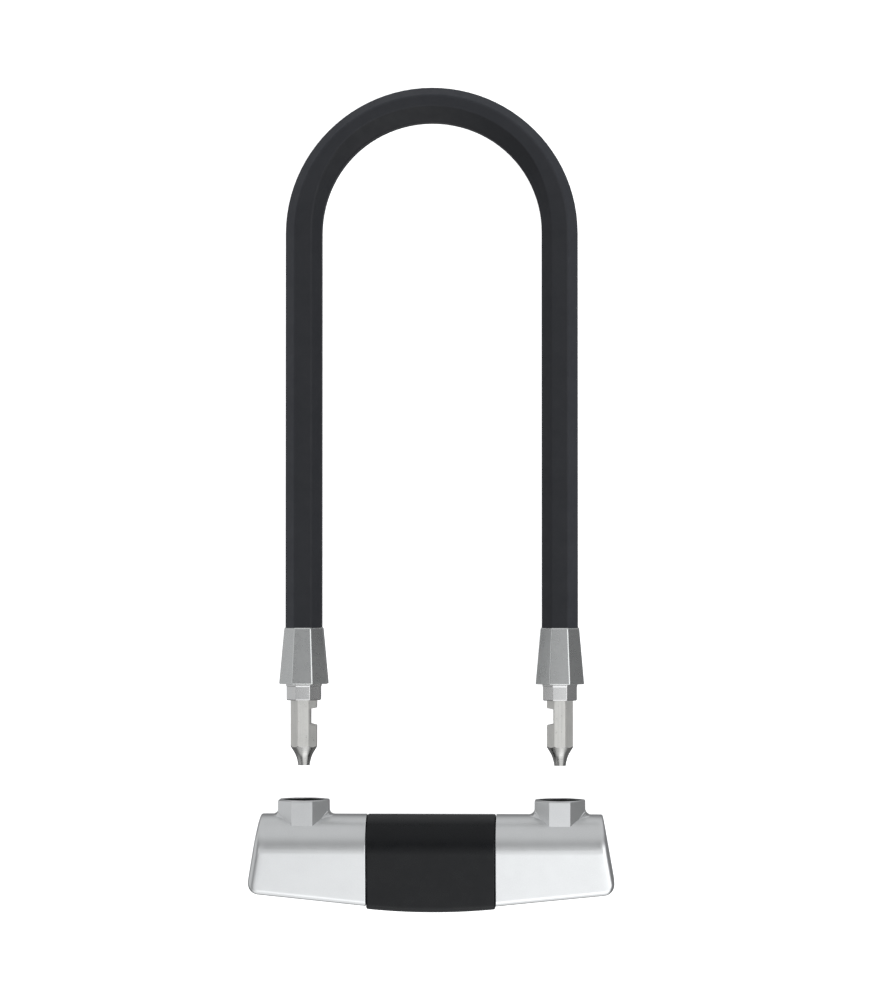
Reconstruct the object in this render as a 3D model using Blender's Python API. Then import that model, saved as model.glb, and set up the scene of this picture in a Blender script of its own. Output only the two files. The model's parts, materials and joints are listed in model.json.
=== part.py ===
"""A bicycle U-lock, opened: an octagonal steel shackle drawn clear of its crossbar.

Metres. The lock lies on its back: +X runs along the crossbar, +Y from the crossbar towards the
shackle's arc and +Z out of the front face. The origin is the middle of the crossbar's flat back.
Every piece is modelled about the crossbar's long axis, which its parent empty lifts off the back.
"""

from math import cos, pi, radians, sin, sqrt, tan

import bmesh
import bpy
from mathutils import Matrix, Vector

MM = 0.001

# Fits
GAP = 0.3 * MM  # between pieces that seat on each other, and round pieces that slide or turn
PAST = 2 * MM  # how far a cutter runs past the face that it opens

# Shackle
FOOT_PITCH = 128 * MM  # from leg axis to leg axis
BAR_FLATS = 13 * MM  # across the flats of the octagonal bar
LEG_STRAIGHT = 197 * MM  # sleeve from the collar to the start of the arc
COVER_WALL = 2.5 * MM
COVER_CHAMFER = 4.7 * MM
COLLAR_LENGTH = 28.3 * MM
COLLAR_RIM = 0.6 * MM  # how far the collar's top stands out from the sleeve
COLLAR_STEP = 0.45 * MM  # how far its foot stands in from the turret
COLLAR_CHAMFER = 0.7 * MM
FERRULE_WALL = 1.95 * MM
FERRULE_LENGTH = 8.2 * MM
FERRULE_CHAMFER = 0.5 * MM
FOOT_LENGTH = 22.5 * MM  # bare octagon below the ferrule
TIP_LENGTH = 7.2 * MM
STUB_FLATS = 5.8 * MM
STUB_LENGTH = 2.8 * MM
NOTCH_CENTRE = 16.2 * MM  # below the collar
NOTCH_FLOOR = 7.4 * MM
NOTCH_MOUTH = 8.6 * MM
NOTCH_DEPTH = 3.2 * MM
LIFT = 57.35 * MM  # how far the shackle is drawn out of the crossbar
ARC_STEPS = 24

# Crossbar casings and band
BAR_DEPTH = 35 * MM
BAR_TOP = 24 * MM
BAND_LENGTH = 64 * MM
BAND_BOTTOM = -24 * MM
BAND_BOW = 1.6 * MM  # how far the band's lower edge rises from its middle to its ends
BAND_EDGE = 0.8 * MM
END_MARGIN = 21.2 * MM  # from a leg axis to the top corner of the casing
END_LEAN = 10.0  # degrees that the end face leans out towards the bottom
SEAM_BOTTOM = -21 * MM  # the casing's lower edge beside the band
END_BOTTOM = -14.8 * MM  # and at its outer end
END_CORNER = 6 * MM
END_FILLET = 3 * MM
END_TOP_FILLET = 0.8 * MM
LOWER_FILLET = 3 * MM
FRONT_TAPER = 6.0  # degrees that the front face draws in below the round
CASING_WALL = 2.6 * MM
INNER_CORNER = 2 * MM
TURRET_WALL = 4.15 * MM  # outside the ferrule's flats
TURRET_RISE = 7.25 * MM
TURRET_CHAMFER = 0.6 * MM
TURRET_FILLET = 3 * MM
ROUND_STEPS = 16
CORNER_STEPS = 4

# Core and foot sockets
CORE_BOTTOM = -12.4 * MM
BOSS_BOTTOM = -19 * MM
BOSS_HALF = 19 * MM
BOSS_SLOPE = 4 * MM
SOCKET_FLOOR = 2.2 * MM
SOCKET_WALL = 0.85 * MM  # outside the corners of the ferrule's bore
SEAL_THICK = 1.6 * MM
SEAL_DROP = 0.3 * MM  # the seal lies this far inside the turret's mouth
CASING_PIN_RADIUS = 2 * MM
CASING_PIN_X = 46 * MM
CASING_PIN_Y = -2 * MM
CASING_PIN_DROP = 0.4 * MM
CASING_PIN_REACH = 2 * MM
END_PLUG_LENGTH = 5.2 * MM

# Lock bolts and their cam
BOLT_HEIGHT = 6.4 * MM
BOLT_DEPTH = 9 * MM
BOLT_NOSE = 0.8 * MM
BOLT_STROKE = 3.5 * MM
BOLT_TURN = 90.0  # degrees of the plug for one stroke
FOLLOWER_RADIUS = 1.2 * MM
FOLLOWER_DEPTH = 4.2 * MM  # how far the pin reaches into its bolt
BOLT_TAIL = 2.4 * MM  # from the pin's axis to the bolt's inner end
CAM_THICK = 3.6 * MM
CAM_RIM = 1.2 * MM  # outside the scroll slots
CAM_DROP = 1.6 * MM  # from the bolts down to the cam's face
SCROLL_STEPS = 12
SCREW_HEAD_RADIUS = 2.6 * MM
SCREW_HEAD_THICK = 1 * MM
SCREW_RADIUS = 0.8 * MM
SCREW_LENGTH = 5 * MM
TANG_WIDTH = 3.2 * MM

# Key cylinder
PLUG_RADIUS = 8 * MM
SHELL_WALL = 2.3 * MM
PLUG_WALL = 1.4 * MM
PLUG_FACE = 2.8 * MM
DRIVER_THICK = 2.7 * MM
DISC_COUNT = 7
DISC_THICK = 2.3 * MM
KEYWAY_LENGTH = 8.4 * MM
KEYWAY_WIDTH = 2.8 * MM
SIDEBAR_WIDTH = 1.8 * MM
SIDEBAR_DEPTH = 2 * MM
CYLINDER_PIN_RADIUS = 1 * MM
CYLINDER_PIN_Y = -12 * MM
CYLINDER_PIN_BITE = 0.5 * MM  # how far the pin's axis lies inside the cylinder's bore

# Keyway bezel and its sliding cover
KEYHOLE_RADIUS = 6.4 * MM
COVER_LENGTH_X = 15.5 * MM
COVER_HALF = 6.3 * MM
COVER_PLATE = 1 * MM
COVER_LIP = 1.3 * MM  # width of the tongue on each side
COVER_TRAVEL = 14.5 * MM
COVER_PAD = 1.8 * MM
COVER_RIDGES = 4
COVER_RIDGE = 0.8 * MM
BEZEL_THICK = 3.6 * MM
BEZEL_RIM = 3 * MM
BEZEL_SIDE = 2 * MM
BEZEL_MOUTH = 1 * MM

# Where pieces lie, worked out from the sizes above
AXIS_HEIGHT = BAR_DEPTH / 2
LEG_X = FOOT_PITCH / 2
COVER_WIDTH = BAR_FLATS + 2 * COVER_WALL
FERRULE_FLATS = BAR_FLATS + 2 * FERRULE_WALL
TURRET_FLATS = FERRULE_FLATS + 2 * TURRET_WALL
COLLAR_LOW_FLATS = TURRET_FLATS - 2 * COLLAR_STEP
COLLAR_HIGH_FLATS = COVER_WIDTH + 2 * COLLAR_RIM
BAND_HALF = BAND_LENGTH / 2
END_TOP_X = LEG_X + END_MARGIN
TURRET_TOP = BAR_TOP + TURRET_RISE
SHACKLE_Y = TURRET_TOP + GAP + LIFT
BORE_FLATS = BAR_FLATS + 2 * GAP
BOLT_Y = TURRET_TOP + GAP - NOTCH_CENTRE
BOLT_LOW = BOLT_Y - BOLT_HEIGHT / 2
SOCKET_FLATS = BAR_FLATS + 2.5 * GAP
MOUTH_FLATS = FERRULE_FLATS + 2 * GAP
SOCKET_RADIUS = MOUTH_FLATS / 2 / cos(pi / 8) + SOCKET_WALL
SOCKET_LOW = CORE_BOTTOM + SOCKET_FLOOR + GAP
SOCKET_HIGH = TURRET_TOP - SEAL_DROP - SEAL_THICK - GAP
INNER_HALF = BAR_DEPTH / 2 - CASING_WALL
CORE_HALF_DEPTH = INNER_HALF - GAP
CORE_TOP = BAR_TOP - CASING_WALL - GAP
CORE_END = END_TOP_X - CASING_WALL - 2 * GAP
BAND_INNER_BOTTOM = BOSS_BOTTOM - GAP - 0.2 * MM
CYLINDER_BORE = PLUG_RADIUS + GAP + SHELL_WALL + GAP
CAM_RADIUS = CYLINDER_BORE - GAP
CAM_HIGH = BOLT_LOW - CAM_DROP
CAM_LOW = CAM_HIGH - CAM_THICK
SLOT_HALF = FOLLOWER_RADIUS + GAP
PIN_END_RADIUS = CAM_RADIUS - CAM_RIM - SLOT_HALF
PIN_START_RADIUS = PIN_END_RADIUS - BOLT_STROKE
CYLINDER_LOW = BOSS_BOTTOM + GAP
CYLINDER_HIGH = CAM_LOW - 2 * GAP
DISC_RADIUS = PLUG_RADIUS - PLUG_WALL - GAP
PLUG_LOW = CYLINDER_LOW + GAP
PLUG_HIGH = CYLINDER_HIGH - DRIVER_THICK - GAP
BEZEL_HIGH = BOSS_BOTTOM - GAP
BEZEL_LOW = BEZEL_HIGH - BEZEL_THICK

STEEL = ((0.56, 0.55, 0.53), 0.32, 1.0)
DARK_STEEL = ((0.26, 0.26, 0.27), 0.42, 1.0)
SATIN_ZINC = ((0.62, 0.63, 0.63), 0.36, 1.0)
GREY_ZINC = ((0.42, 0.42, 0.41), 0.34, 1.0)
BRASS = ((0.66, 0.49, 0.21), 0.35, 1.0)
BLACK_SATIN = ((0.018, 0.019, 0.021), 0.42, 0.0)
BLACK_VINYL = ((0.035, 0.035, 0.038), 0.62, 0.0)
BLACK_RUBBER = ((0.015, 0.015, 0.016), 0.8, 0.0)


# ---------------------------------------------------------------- outlines


def octagon(flats):
    """A regular octagon with a flat towards each axis."""
    radius = flats / 2 / cos(pi / 8)
    return [(radius * cos(pi / 8 + k * pi / 4), radius * sin(pi / 8 + k * pi / 4)) for k in range(8)]


def chamfered_square(width, chamfer):
    """A square with its corners cut at 45 degrees, starting like octagon()."""
    half = width / 2
    short = half - chamfer
    return [
        (half, short),
        (short, half),
        (-short, half),
        (-half, short),
        (-half, -short),
        (-short, -half),
        (short, -half),
        (half, -short),
    ]


def circle(radius, sides=32):
    return [(radius * cos(2 * pi * k / sides), radius * sin(2 * pi * k / sides)) for k in range(sides)]


def rectangle(low_a, high_a, low_b, high_b):
    return [(low_a, low_b), (high_a, low_b), (high_a, high_b), (low_a, high_b)]


def long_hole(length, width, steps=6):
    """A slot with round ends, its length along the first axis."""
    radius = width / 2
    reach = length / 2 - radius
    right = [(reach + radius * sin(pi * k / steps), -radius * cos(pi * k / steps)) for k in range(steps + 1)]
    return right + [(-a, -b) for a, b in right]


def bar_section(half_depth, top, bottom, corner):
    """The crossbar's (y, z) section: half-round towards the shackle, flat back, small corners below.

    The front is flat too, and draws in by FRONT_TAPER from where it leaves the round.
    """
    taper = radians(FRONT_TAPER)
    middle = top - half_depth
    points = []
    for k in range(ROUND_STEPS + 1):
        turn = -taper + (pi + taper) * k / ROUND_STEPS
        points.append((middle + half_depth * sin(turn), half_depth * cos(turn)))
    for k in range(CORNER_STEPS + 1):
        turn = pi / 2 * k / CORNER_STEPS
        points.append((bottom + corner - corner * sin(turn), -half_depth + corner - corner * cos(turn)))
    low = bottom + corner
    front = (half_depth - corner + (low - middle) * sin(taper)) / cos(taper)
    for k in range(CORNER_STEPS + 1):
        turn = (pi / 2 - taper) * k / CORNER_STEPS
        points.append((low - corner * cos(turn), front + corner * sin(turn)))
    return points


def rounding(radius, distance):
    """How far a round edge has drawn in, at this distance from the face that it ends in."""
    if distance >= radius:
        return 0.0
    return radius - sqrt(radius**2 - (radius - distance) ** 2)


# ---------------------------------------------------------------- mesh makers


def lifted(outline, at, along):
    """An outline's points in space, in the plane across one axis: (x, z) for Y, (y, z) for X."""
    if along == "X":
        return [Vector((at, a, b)) for a, b in outline]
    if along == "Y":
        return [Vector((a, at, b)) for a, b in outline]
    return [Vector((a, b, at)) for a, b in outline]


def loft(rings):
    """A closed body through rings of points, its two ends capped."""
    bm = bmesh.new()
    rows = [[bm.verts.new(point) for point in ring] for ring in rings]
    count = len(rows[0])
    for low, high in zip(rows, rows[1:]):
        for k in range(count):
            bm.faces.new((low[k], low[(k + 1) % count], high[(k + 1) % count], high[k]))
    bm.faces.new(rows[0])
    bm.faces.new(rows[-1])
    bmesh.ops.recalc_face_normals(bm, faces=bm.faces)
    return bm


def prism(outline, low, high, along="Y", chamfer_low=0.0, chamfer_high=0.0):
    """An outline extruded along an axis. A chamfer draws the outline in about its middle."""
    size = max(abs(a) for a, _ in outline)
    stations = [(low, chamfer_low), (low + chamfer_low, 0), (high - chamfer_high, 0), (high, chamfer_high)]
    rings = []
    for k, (at, inset) in enumerate(stations):
        if k and at - stations[k - 1][0] < 1e-9:
            continue
        share = 1 - inset / size
        rings.append(lifted([(a * share, b * share) for a, b in outline], at, along))
    return loft(rings)


def tapered_tube(stations, hole, sides_of):
    """A tube along Y. Each station is (y, size), sides_of turns a size into an outline."""
    bm = bmesh.new()
    outer = [[bm.verts.new(point) for point in lifted(sides_of(size), y, "Y")] for y, size in stations]
    ends = (stations[-1][0], stations[0][0])
    inner = [[bm.verts.new(point) for point in lifted(sides_of(hole), y, "Y")] for y in ends]
    rows = outer + inner
    count = len(rows[0])
    for low, high in zip(rows, rows[1:] + rows[:1]):
        for k in range(count):
            bm.faces.new((low[k], low[(k + 1) % count], high[(k + 1) % count], high[k]))
    bmesh.ops.recalc_face_normals(bm, faces=bm.faces)
    return bm


def left_behind(faces):
    """The faces of this list that would end up inside the body once it is drawn on from them."""
    bare = any(len(edge.link_faces) == 1 for face in faces for edge in face.edges)
    return [] if bare else list(faces)


def faces_in(items):
    return [item for item in items if isinstance(item, bmesh.types.BMFace)]


def drawn(bm, faces, move, share=1.0, centre=None):
    """Extrudes faces by a vector, scales the new ones about a point, and returns them."""
    inside = left_behind(faces)
    made = bmesh.ops.extrude_face_region(bm, geom=faces)["geom"]
    bmesh.ops.delete(bm, geom=inside, context="FACES")
    verts = [item for item in made if isinstance(item, bmesh.types.BMVert)]
    bmesh.ops.translate(bm, verts=verts, vec=move)
    if centre is not None:
        bmesh.ops.scale(bm, verts=verts, vec=(share, share, share), space=Matrix.Translation(-centre))
    return faces_in(made)


def bent_u(bm, faces, leg_low, leg_high):
    """Draws end faces, at the foot of the left leg, up that leg, round the arc and down the other."""
    high = drawn(bm, faces, Vector((0, leg_high - leg_low, 0)))
    turned = bmesh.ops.spin(
        bm,
        geom=high,
        cent=(0, leg_high, 0),
        axis=(0, 0, -1),
        angle=pi,
        steps=ARC_STEPS,
        use_duplicate=False,
    )["geom_last"]
    bmesh.ops.delete(bm, geom=high, context="FACES")
    return drawn(bm, faces_in(turned), Vector((0, leg_low - leg_high, 0)))


def moved_along_x(bm, distance):
    bmesh.ops.translate(bm, verts=bm.verts, vec=(distance, 0, 0))
    return bm


# ---------------------------------------------------------------- objects


def clear_scene():
    for item in list(bpy.data.objects):
        bpy.data.objects.remove(item, do_unlink=True)


def empty(name, place, parent=None):
    """An empty on a body's joint axis. place is in the scene, whatever the parent."""
    item = bpy.data.objects.new(name, None)
    item.empty_display_size = 10 * MM
    bpy.context.scene.collection.objects.link(item)
    item.parent = parent
    item.location = place - (parent.location if parent else Vector())
    return item


def finish(name, look):
    """The Principled material of one finish."""
    found = bpy.data.materials.get(name)
    if found:
        return found
    colour, roughness, metallic = look
    made = bpy.data.materials.new(name)
    made.use_nodes = True
    shader = made.node_tree.nodes["Principled BSDF"]
    shader.inputs["Base Color"].default_value = (*colour, 1)
    shader.inputs["Roughness"].default_value = roughness
    shader.inputs["Metallic"].default_value = metallic
    return made


def piece(name, bm, parent, material, smooth_under=30.0):
    """A named sub-part on its body's empty. Faces that meet at less than smooth_under shade smooth."""
    mesh = bpy.data.meshes.new(name)
    bm.to_mesh(mesh)
    bm.free()
    mesh.shade_smooth()
    mesh.set_sharp_from_angle(angle=radians(smooth_under))
    mesh.materials.append(material)
    item = bpy.data.objects.new(name, mesh)
    bpy.context.scene.collection.objects.link(item)
    item.parent = parent
    return item


def change(item, label, bm, operation="DIFFERENCE"):
    """Cuts a body from a piece, or joins one to it, with a Boolean that stays on the piece."""
    mesh = bpy.data.meshes.new(f"{item.name}_{label}")
    bm.to_mesh(mesh)
    bm.free()
    tool = bpy.data.objects.new(f"{item.name}_{label}", mesh)
    bpy.context.scene.collection.objects.link(tool)
    tool.parent = item.parent
    tool.hide_render = True
    tool.display_type = "WIRE"
    modifier = item.modifiers.new(label, "BOOLEAN")
    modifier.operation = operation
    modifier.solver = "EXACT"
    modifier.object = tool


# ---------------------------------------------------------------- shackle


def foot_tip(bm, faces, centre_x):
    """Draws the round-nosed tip down from the end of a foot."""
    waist = STUB_FLATS * 1.35
    steps = (
        (0.62 * TIP_LENGTH, waist / BAR_FLATS),
        (0.38 * TIP_LENGTH, STUB_FLATS / waist),
        (0.8 * STUB_LENGTH, 1.0),
        (0.2 * STUB_LENGTH, 0.8),
    )
    y = -FERRULE_LENGTH - FOOT_LENGTH
    for length, share in steps:
        y -= length
        faces = drawn(bm, faces, Vector((0, -length, 0)), share, Vector((centre_x, y, 0)))


def shackle_bar(parent, material):
    foot = -FERRULE_LENGTH - FOOT_LENGTH
    bm = bmesh.new()
    ring = [bm.verts.new(point) for point in lifted(octagon(BAR_FLATS), foot, "Y")]
    bmesh.ops.translate(bm, verts=ring, vec=(-LEG_X, 0, 0))
    start = bm.faces.new(ring)
    end = bent_u(bm, [start], foot, COLLAR_LENGTH + LEG_STRAIGHT)
    lower = [f for f in bm.faces if all(abs(v.co.y - foot) < 1e-7 and v.co.x < 0 for v in f.verts)]
    foot_tip(bm, lower, -LEG_X)
    foot_tip(bm, end, LEG_X)
    bmesh.ops.recalc_face_normals(bm, faces=bm.faces)
    item = piece("shackle_bar", bm, parent, material)
    for side, label in ((-1, "notch_left"), (1, "notch_right")):
        face = LEG_X - BAR_FLATS / 2
        floor = face + NOTCH_DEPTH
        spread = (NOTCH_MOUTH - NOTCH_FLOOR) / NOTCH_DEPTH * PAST
        outline = [
            (side * floor, -NOTCH_CENTRE - NOTCH_FLOOR / 2),
            (side * floor, -NOTCH_CENTRE + NOTCH_FLOOR / 2),
            (side * (face - PAST), -NOTCH_CENTRE + (NOTCH_MOUTH + spread) / 2),
            (side * (face - PAST), -NOTCH_CENTRE - (NOTCH_MOUTH + spread) / 2),
        ]
        change(item, label, prism(outline, -BAR_FLATS, BAR_FLATS, "Z"))


def shackle_cover(parent, material):
    """The sleeve: a tube with a chamfered square outside and an octagonal bore."""
    low = COLLAR_LENGTH + GAP
    bm = bmesh.new()
    outer = [bm.verts.new(p) for p in lifted(chamfered_square(COVER_WIDTH, COVER_CHAMFER), low, "Y")]
    inner = [bm.verts.new(p) for p in lifted(octagon(BORE_FLATS), low, "Y")]
    bmesh.ops.translate(bm, verts=bm.verts, vec=(-LEG_X, 0, 0))
    start = [
        bm.faces.new((outer[k], outer[(k + 1) % 8], inner[(k + 1) % 8], inner[k])) for k in range(8)
    ]
    bent_u(bm, start, low, COLLAR_LENGTH + LEG_STRAIGHT)
    bmesh.ops.recalc_face_normals(bm, faces=bm.faces)
    piece("shackle_cover", bm, parent, material)


def collar(name, side, parent, material):
    """The tapered octagonal collar that ends the sleeve and lands on the turret."""
    slope = (COLLAR_LOW_FLATS - COLLAR_HIGH_FLATS) / COLLAR_LENGTH
    stations = [
        (0.0, COLLAR_LOW_FLATS - 2 * COLLAR_CHAMFER),
        (COLLAR_CHAMFER, COLLAR_LOW_FLATS - slope * COLLAR_CHAMFER),
        (COLLAR_LENGTH - COLLAR_CHAMFER, COLLAR_HIGH_FLATS + slope * COLLAR_CHAMFER),
        (COLLAR_LENGTH, COLLAR_HIGH_FLATS - 2 * COLLAR_CHAMFER),
    ]
    bm = tapered_tube(stations, BORE_FLATS, octagon)
    piece(name, moved_along_x(bm, side * LEG_X), parent, material)


def ferrule(name, side, parent, material):
    """The octagonal shoulder below a collar, which fills the mouth of the socket."""
    stations = [
        (-FERRULE_LENGTH, FERRULE_FLATS - 2 * FERRULE_CHAMFER),
        (-FERRULE_LENGTH + FERRULE_CHAMFER, FERRULE_FLATS),
        (-GAP, FERRULE_FLATS),
    ]
    bm = tapered_tube(stations, BORE_FLATS, octagon)
    piece(name, moved_along_x(bm, side * LEG_X), parent, material)


# ---------------------------------------------------------------- crossbar shells


def casing_bottom(x):
    """The casing's lower edge, straight from the band to the outer end."""
    share = (x - BAND_HALF) / (END_TOP_X - BAND_HALF)
    return SEAM_BOTTOM + (END_BOTTOM - SEAM_BOTTOM) * share


def leaned(outline, x, side, share=1.0):
    """A crossbar section at x whose lower points lean out with the end face."""
    lean = tan(radians(END_LEAN)) * share
    return [Vector((side * (x + lean * (BAR_TOP - y)), y, z)) for y, z in outline]


def casing_outside(side):
    seam = BAND_HALF + GAP
    rings = [leaned(bar_section(AXIS_HEIGHT, BAR_TOP, casing_bottom(seam), LOWER_FILLET), seam, side, 0)]
    for k in range(7):
        left = END_CORNER * (1 - sin(pi / 2 * k / 6))
        x = END_TOP_X - left
        outline = bar_section(
            AXIS_HEIGHT - rounding(END_FILLET, left),
            BAR_TOP - rounding(END_TOP_FILLET, left),
            casing_bottom(x) + rounding(END_CORNER, left),
            LOWER_FILLET,
        )
        rings.append(leaned(outline, x, side))
    return loft(rings)


def casing_inside(side):
    seam = BAND_HALF - PAST
    end = END_TOP_X - CASING_WALL
    rings = []
    for x, share in ((seam, 0.0), (end, 1.0)):
        outline = bar_section(
            INNER_HALF, BAR_TOP - CASING_WALL, casing_bottom(x) + CASING_WALL, INNER_CORNER
        )
        rings.append(leaned(outline, x, side, share))
    return loft(rings)


def turret_fillet(side, outward):
    """The concave web that carries one flank of the turret into the top of the casing."""
    flank = TURRET_FLATS / 2
    sunk = BAR_TOP - 1.5 * MM
    steps = 5
    outline = [(flank - PAST, sunk), (flank - PAST, BAR_TOP + TURRET_FILLET)]
    for k in range(steps + 1):
        turn = pi / 2 * k / steps
        outline.append(
            (
                flank + TURRET_FILLET * (1 - cos(turn)),
                BAR_TOP + TURRET_FILLET * (1 - sin(turn)),
            )
        )
    outline.append((flank + TURRET_FILLET, sunk))
    half = TURRET_FLATS / 2 * tan(pi / 8)
    placed = [(side * (LEG_X + outward * x), y) for x, y in outline]
    return prism(placed, -half, half, "Z")


def end_casing(name, side, parent, material):
    item = piece(name, casing_outside(side), parent, material)
    turret = prism(octagon(TURRET_FLATS), BAR_TOP - AXIS_HEIGHT, TURRET_TOP, "Y", 0, TURRET_CHAMFER)
    change(item, "turret", moved_along_x(turret, side * LEG_X), "UNION")
    change(item, "fillet_in", turret_fillet(side, -1), "UNION")
    change(item, "fillet_out", turret_fillet(side, 1), "UNION")
    change(item, "hollow", casing_inside(side))
    bore = prism(circle(SOCKET_RADIUS + GAP), SOCKET_LOW, TURRET_TOP + PAST)
    change(item, "mouth", moved_along_x(bore, side * LEG_X))
    change(item, "pin_hole", casing_pin_body(side, CASING_PIN_RADIUS + GAP, PAST))


def casing_pin_body(side, radius, past):
    """A round bar through a casing's back into the core; past lengthens it at the back."""
    low = -AXIS_HEIGHT + CASING_PIN_DROP - past
    reach = CASING_PIN_REACH + (GAP if past else 0)
    outline = [(side * CASING_PIN_X + a, CASING_PIN_Y + b) for a, b in circle(radius, 16)]
    return prism(outline, low, reach, "Z")


def band_bottom(x):
    return BAND_BOTTOM + BAND_BOW * (x / BAND_HALF) ** 2


def centre_band(parent, material):
    """The sleeve round the middle of the crossbar, bowed along its lower edge."""
    stations = [BAND_HALF - BAND_EDGE * (1 - sin(pi / 2 * k / 3)) for k in (3, 2, 1, 0)]
    stations += [BAND_HALF * share for share in (0.75, 0.5, 0.25, 0)]
    stations += [-x for x in reversed(stations[:-1])]
    rings = []
    for x in stations:
        drawn_in = rounding(BAND_EDGE, BAND_HALF - abs(x))
        outline = bar_section(
            AXIS_HEIGHT - drawn_in * 0.4,
            BAR_TOP - drawn_in * 0.4,
            band_bottom(x) + drawn_in,
            LOWER_FILLET,
        )
        rings.append(leaned(outline, x, 1, 0))
    item = piece("centre_band", loft(rings), parent, material)
    inside = bar_section(INNER_HALF, BAR_TOP - CASING_WALL, BAND_INNER_BOTTOM, INNER_CORNER)
    change(item, "hollow", prism(inside, -BAND_HALF - PAST, BAND_HALF + PAST, "X"))
    low_x, high_x, half = bezel_outline(GAP)
    window = prism(rectangle(low_x, high_x, -half, half), BAND_BOTTOM - PAST, BAND_INNER_BOTTOM + PAST)
    change(item, "bezel_window", window)


# ---------------------------------------------------------------- core and sockets


def core_housing(parent, material):
    """The steel core: a bar that fills the casings, with a boss for the key cylinder."""
    stations = (
        (-CORE_END, CORE_BOTTOM),
        (-BOSS_HALF - BOSS_SLOPE, CORE_BOTTOM),
        (-BOSS_HALF, BOSS_BOTTOM),
        (BOSS_HALF, BOSS_BOTTOM),
        (BOSS_HALF + BOSS_SLOPE, CORE_BOTTOM),
        (CORE_END, CORE_BOTTOM),
    )
    rings = []
    for x, bottom in stations:
        outline = bar_section(CORE_HALF_DEPTH, CORE_TOP, bottom, INNER_CORNER)
        rings.append(leaned(outline, x, 1, 0))
    item = piece("core_housing", loft(rings), parent, material)
    change(item, "bolt_channel", bolt_channel(-CORE_END - PAST, CORE_END + PAST))
    bore = prism(circle(CYLINDER_BORE), BOSS_BOTTOM - PAST, BOLT_LOW + GAP)
    change(item, "cylinder_bore", bore)
    for side, label in ((-1, "left"), (1, "right")):
        hole = prism(circle(SOCKET_RADIUS + GAP), CORE_BOTTOM + SOCKET_FLOOR, CORE_TOP + PAST)
        change(item, f"socket_{label}", moved_along_x(hole, side * LEG_X))
        change(item, f"pin_{label}", casing_pin_body(side, CASING_PIN_RADIUS + GAP, PAST))
    change(item, "cylinder_pin", cylinder_pin_body(CYLINDER_PIN_RADIUS + GAP, PAST))


def bolt_channel(low_x, high_x):
    half_height = BOLT_HEIGHT / 2 + GAP
    half_depth = BOLT_DEPTH / 2 + GAP
    outline = rectangle(BOLT_Y - half_height, BOLT_Y + half_height, -half_depth, half_depth)
    return prism(outline, low_x, high_x, "X")


def core_end_plug(name, side, parent, material):
    """The plug that closes the bolt channel at the end of the core."""
    half_height = BOLT_HEIGHT / 2
    outline = rectangle(BOLT_Y - half_height, BOLT_Y + half_height, -BOLT_DEPTH / 2, BOLT_DEPTH / 2)
    ends = sorted((side * (CORE_END - GAP), side * (CORE_END - GAP - END_PLUG_LENGTH)))
    piece(name, prism(outline, *ends, "X"), parent, material)


def foot_socket(name, side, parent, material):
    """A guide sleeve for one foot: a wide mouth for the ferrule, then the bar's own octagon."""
    bm = prism(circle(SOCKET_RADIUS), SOCKET_LOW, SOCKET_HIGH)
    item = piece(name, moved_along_x(bm, side * LEG_X), parent, material)
    bore = prism(octagon(SOCKET_FLATS), SOCKET_LOW - PAST, SOCKET_HIGH + PAST)
    change(item, "bore", moved_along_x(bore, side * LEG_X))
    shelf = TURRET_TOP - FERRULE_LENGTH - GAP
    mouth = prism(octagon(MOUTH_FLATS), shelf, SOCKET_HIGH + PAST)
    change(item, "mouth", moved_along_x(mouth, side * LEG_X))
    ends = sorted((side * LEG_X, side * (LEG_X - SOCKET_RADIUS - PAST)))
    change(item, "bolt_window", bolt_channel(*ends))


def socket_seal(name, side, parent, material):
    """The ring in the turret's mouth."""
    high = TURRET_TOP - SEAL_DROP
    stations = [(high - SEAL_THICK, SOCKET_RADIUS), (high, SOCKET_RADIUS)]
    hole = FERRULE_FLATS / 2 / cos(pi / 8) + GAP
    bm = tapered_tube(stations, hole, circle)
    piece(name, moved_along_x(bm, side * LEG_X), parent, material)


def casing_pin(name, side, parent, material):
    piece(name, casing_pin_body(side, CASING_PIN_RADIUS, 0.0), parent, material)


# ---------------------------------------------------------------- bolts and cam


def lock_bolt(name, side, parent, material):
    """A bolt, drawn back: its nose stands just outside the bore of the foot's socket."""
    tail = PIN_START_RADIUS - BOLT_TAIL
    nose = LEG_X - SOCKET_FLATS / 2 - GAP
    low, high = BOLT_Y - BOLT_HEIGHT / 2, BOLT_Y + BOLT_HEIGHT / 2
    outline = [
        (side * tail, low),
        (side * (nose - BOLT_NOSE), low),
        (side * nose, low + BOLT_NOSE),
        (side * nose, high - BOLT_NOSE),
        (side * (nose - BOLT_NOSE), high),
        (side * tail, high),
    ]
    item = piece(name, prism(outline, -BOLT_DEPTH / 2, BOLT_DEPTH / 2, "Z"), parent, material)
    hole = prism(circle(SLOT_HALF, 16), low - PAST, low + FOLLOWER_DEPTH + GAP)
    change(item, "pin_hole", moved_along_x(hole, side * PIN_START_RADIUS))


def follower_pin(name, side, parent, material):
    bm = prism(circle(FOLLOWER_RADIUS, 16), CAM_LOW + 2 * GAP, BOLT_LOW + FOLLOWER_DEPTH)
    piece(name, moved_along_x(bm, side * PIN_START_RADIUS), parent, material)


def scroll_point(turn, offset, side):
    """A point of a scroll slot: the follower's place, seen from the cam, after this much turn."""
    growth = BOLT_STROKE / radians(BOLT_TURN)
    radius = PIN_START_RADIUS + growth * turn
    centre = Vector((radius * cos(turn), radius * sin(turn)))
    ahead = Vector((growth * cos(turn) - radius * sin(turn), growth * sin(turn) + radius * cos(turn)))
    ahead.normalize()
    out = Vector((ahead.y, -ahead.x))
    point = centre + out * offset
    return (side * point.x, side * point.y)


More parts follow.
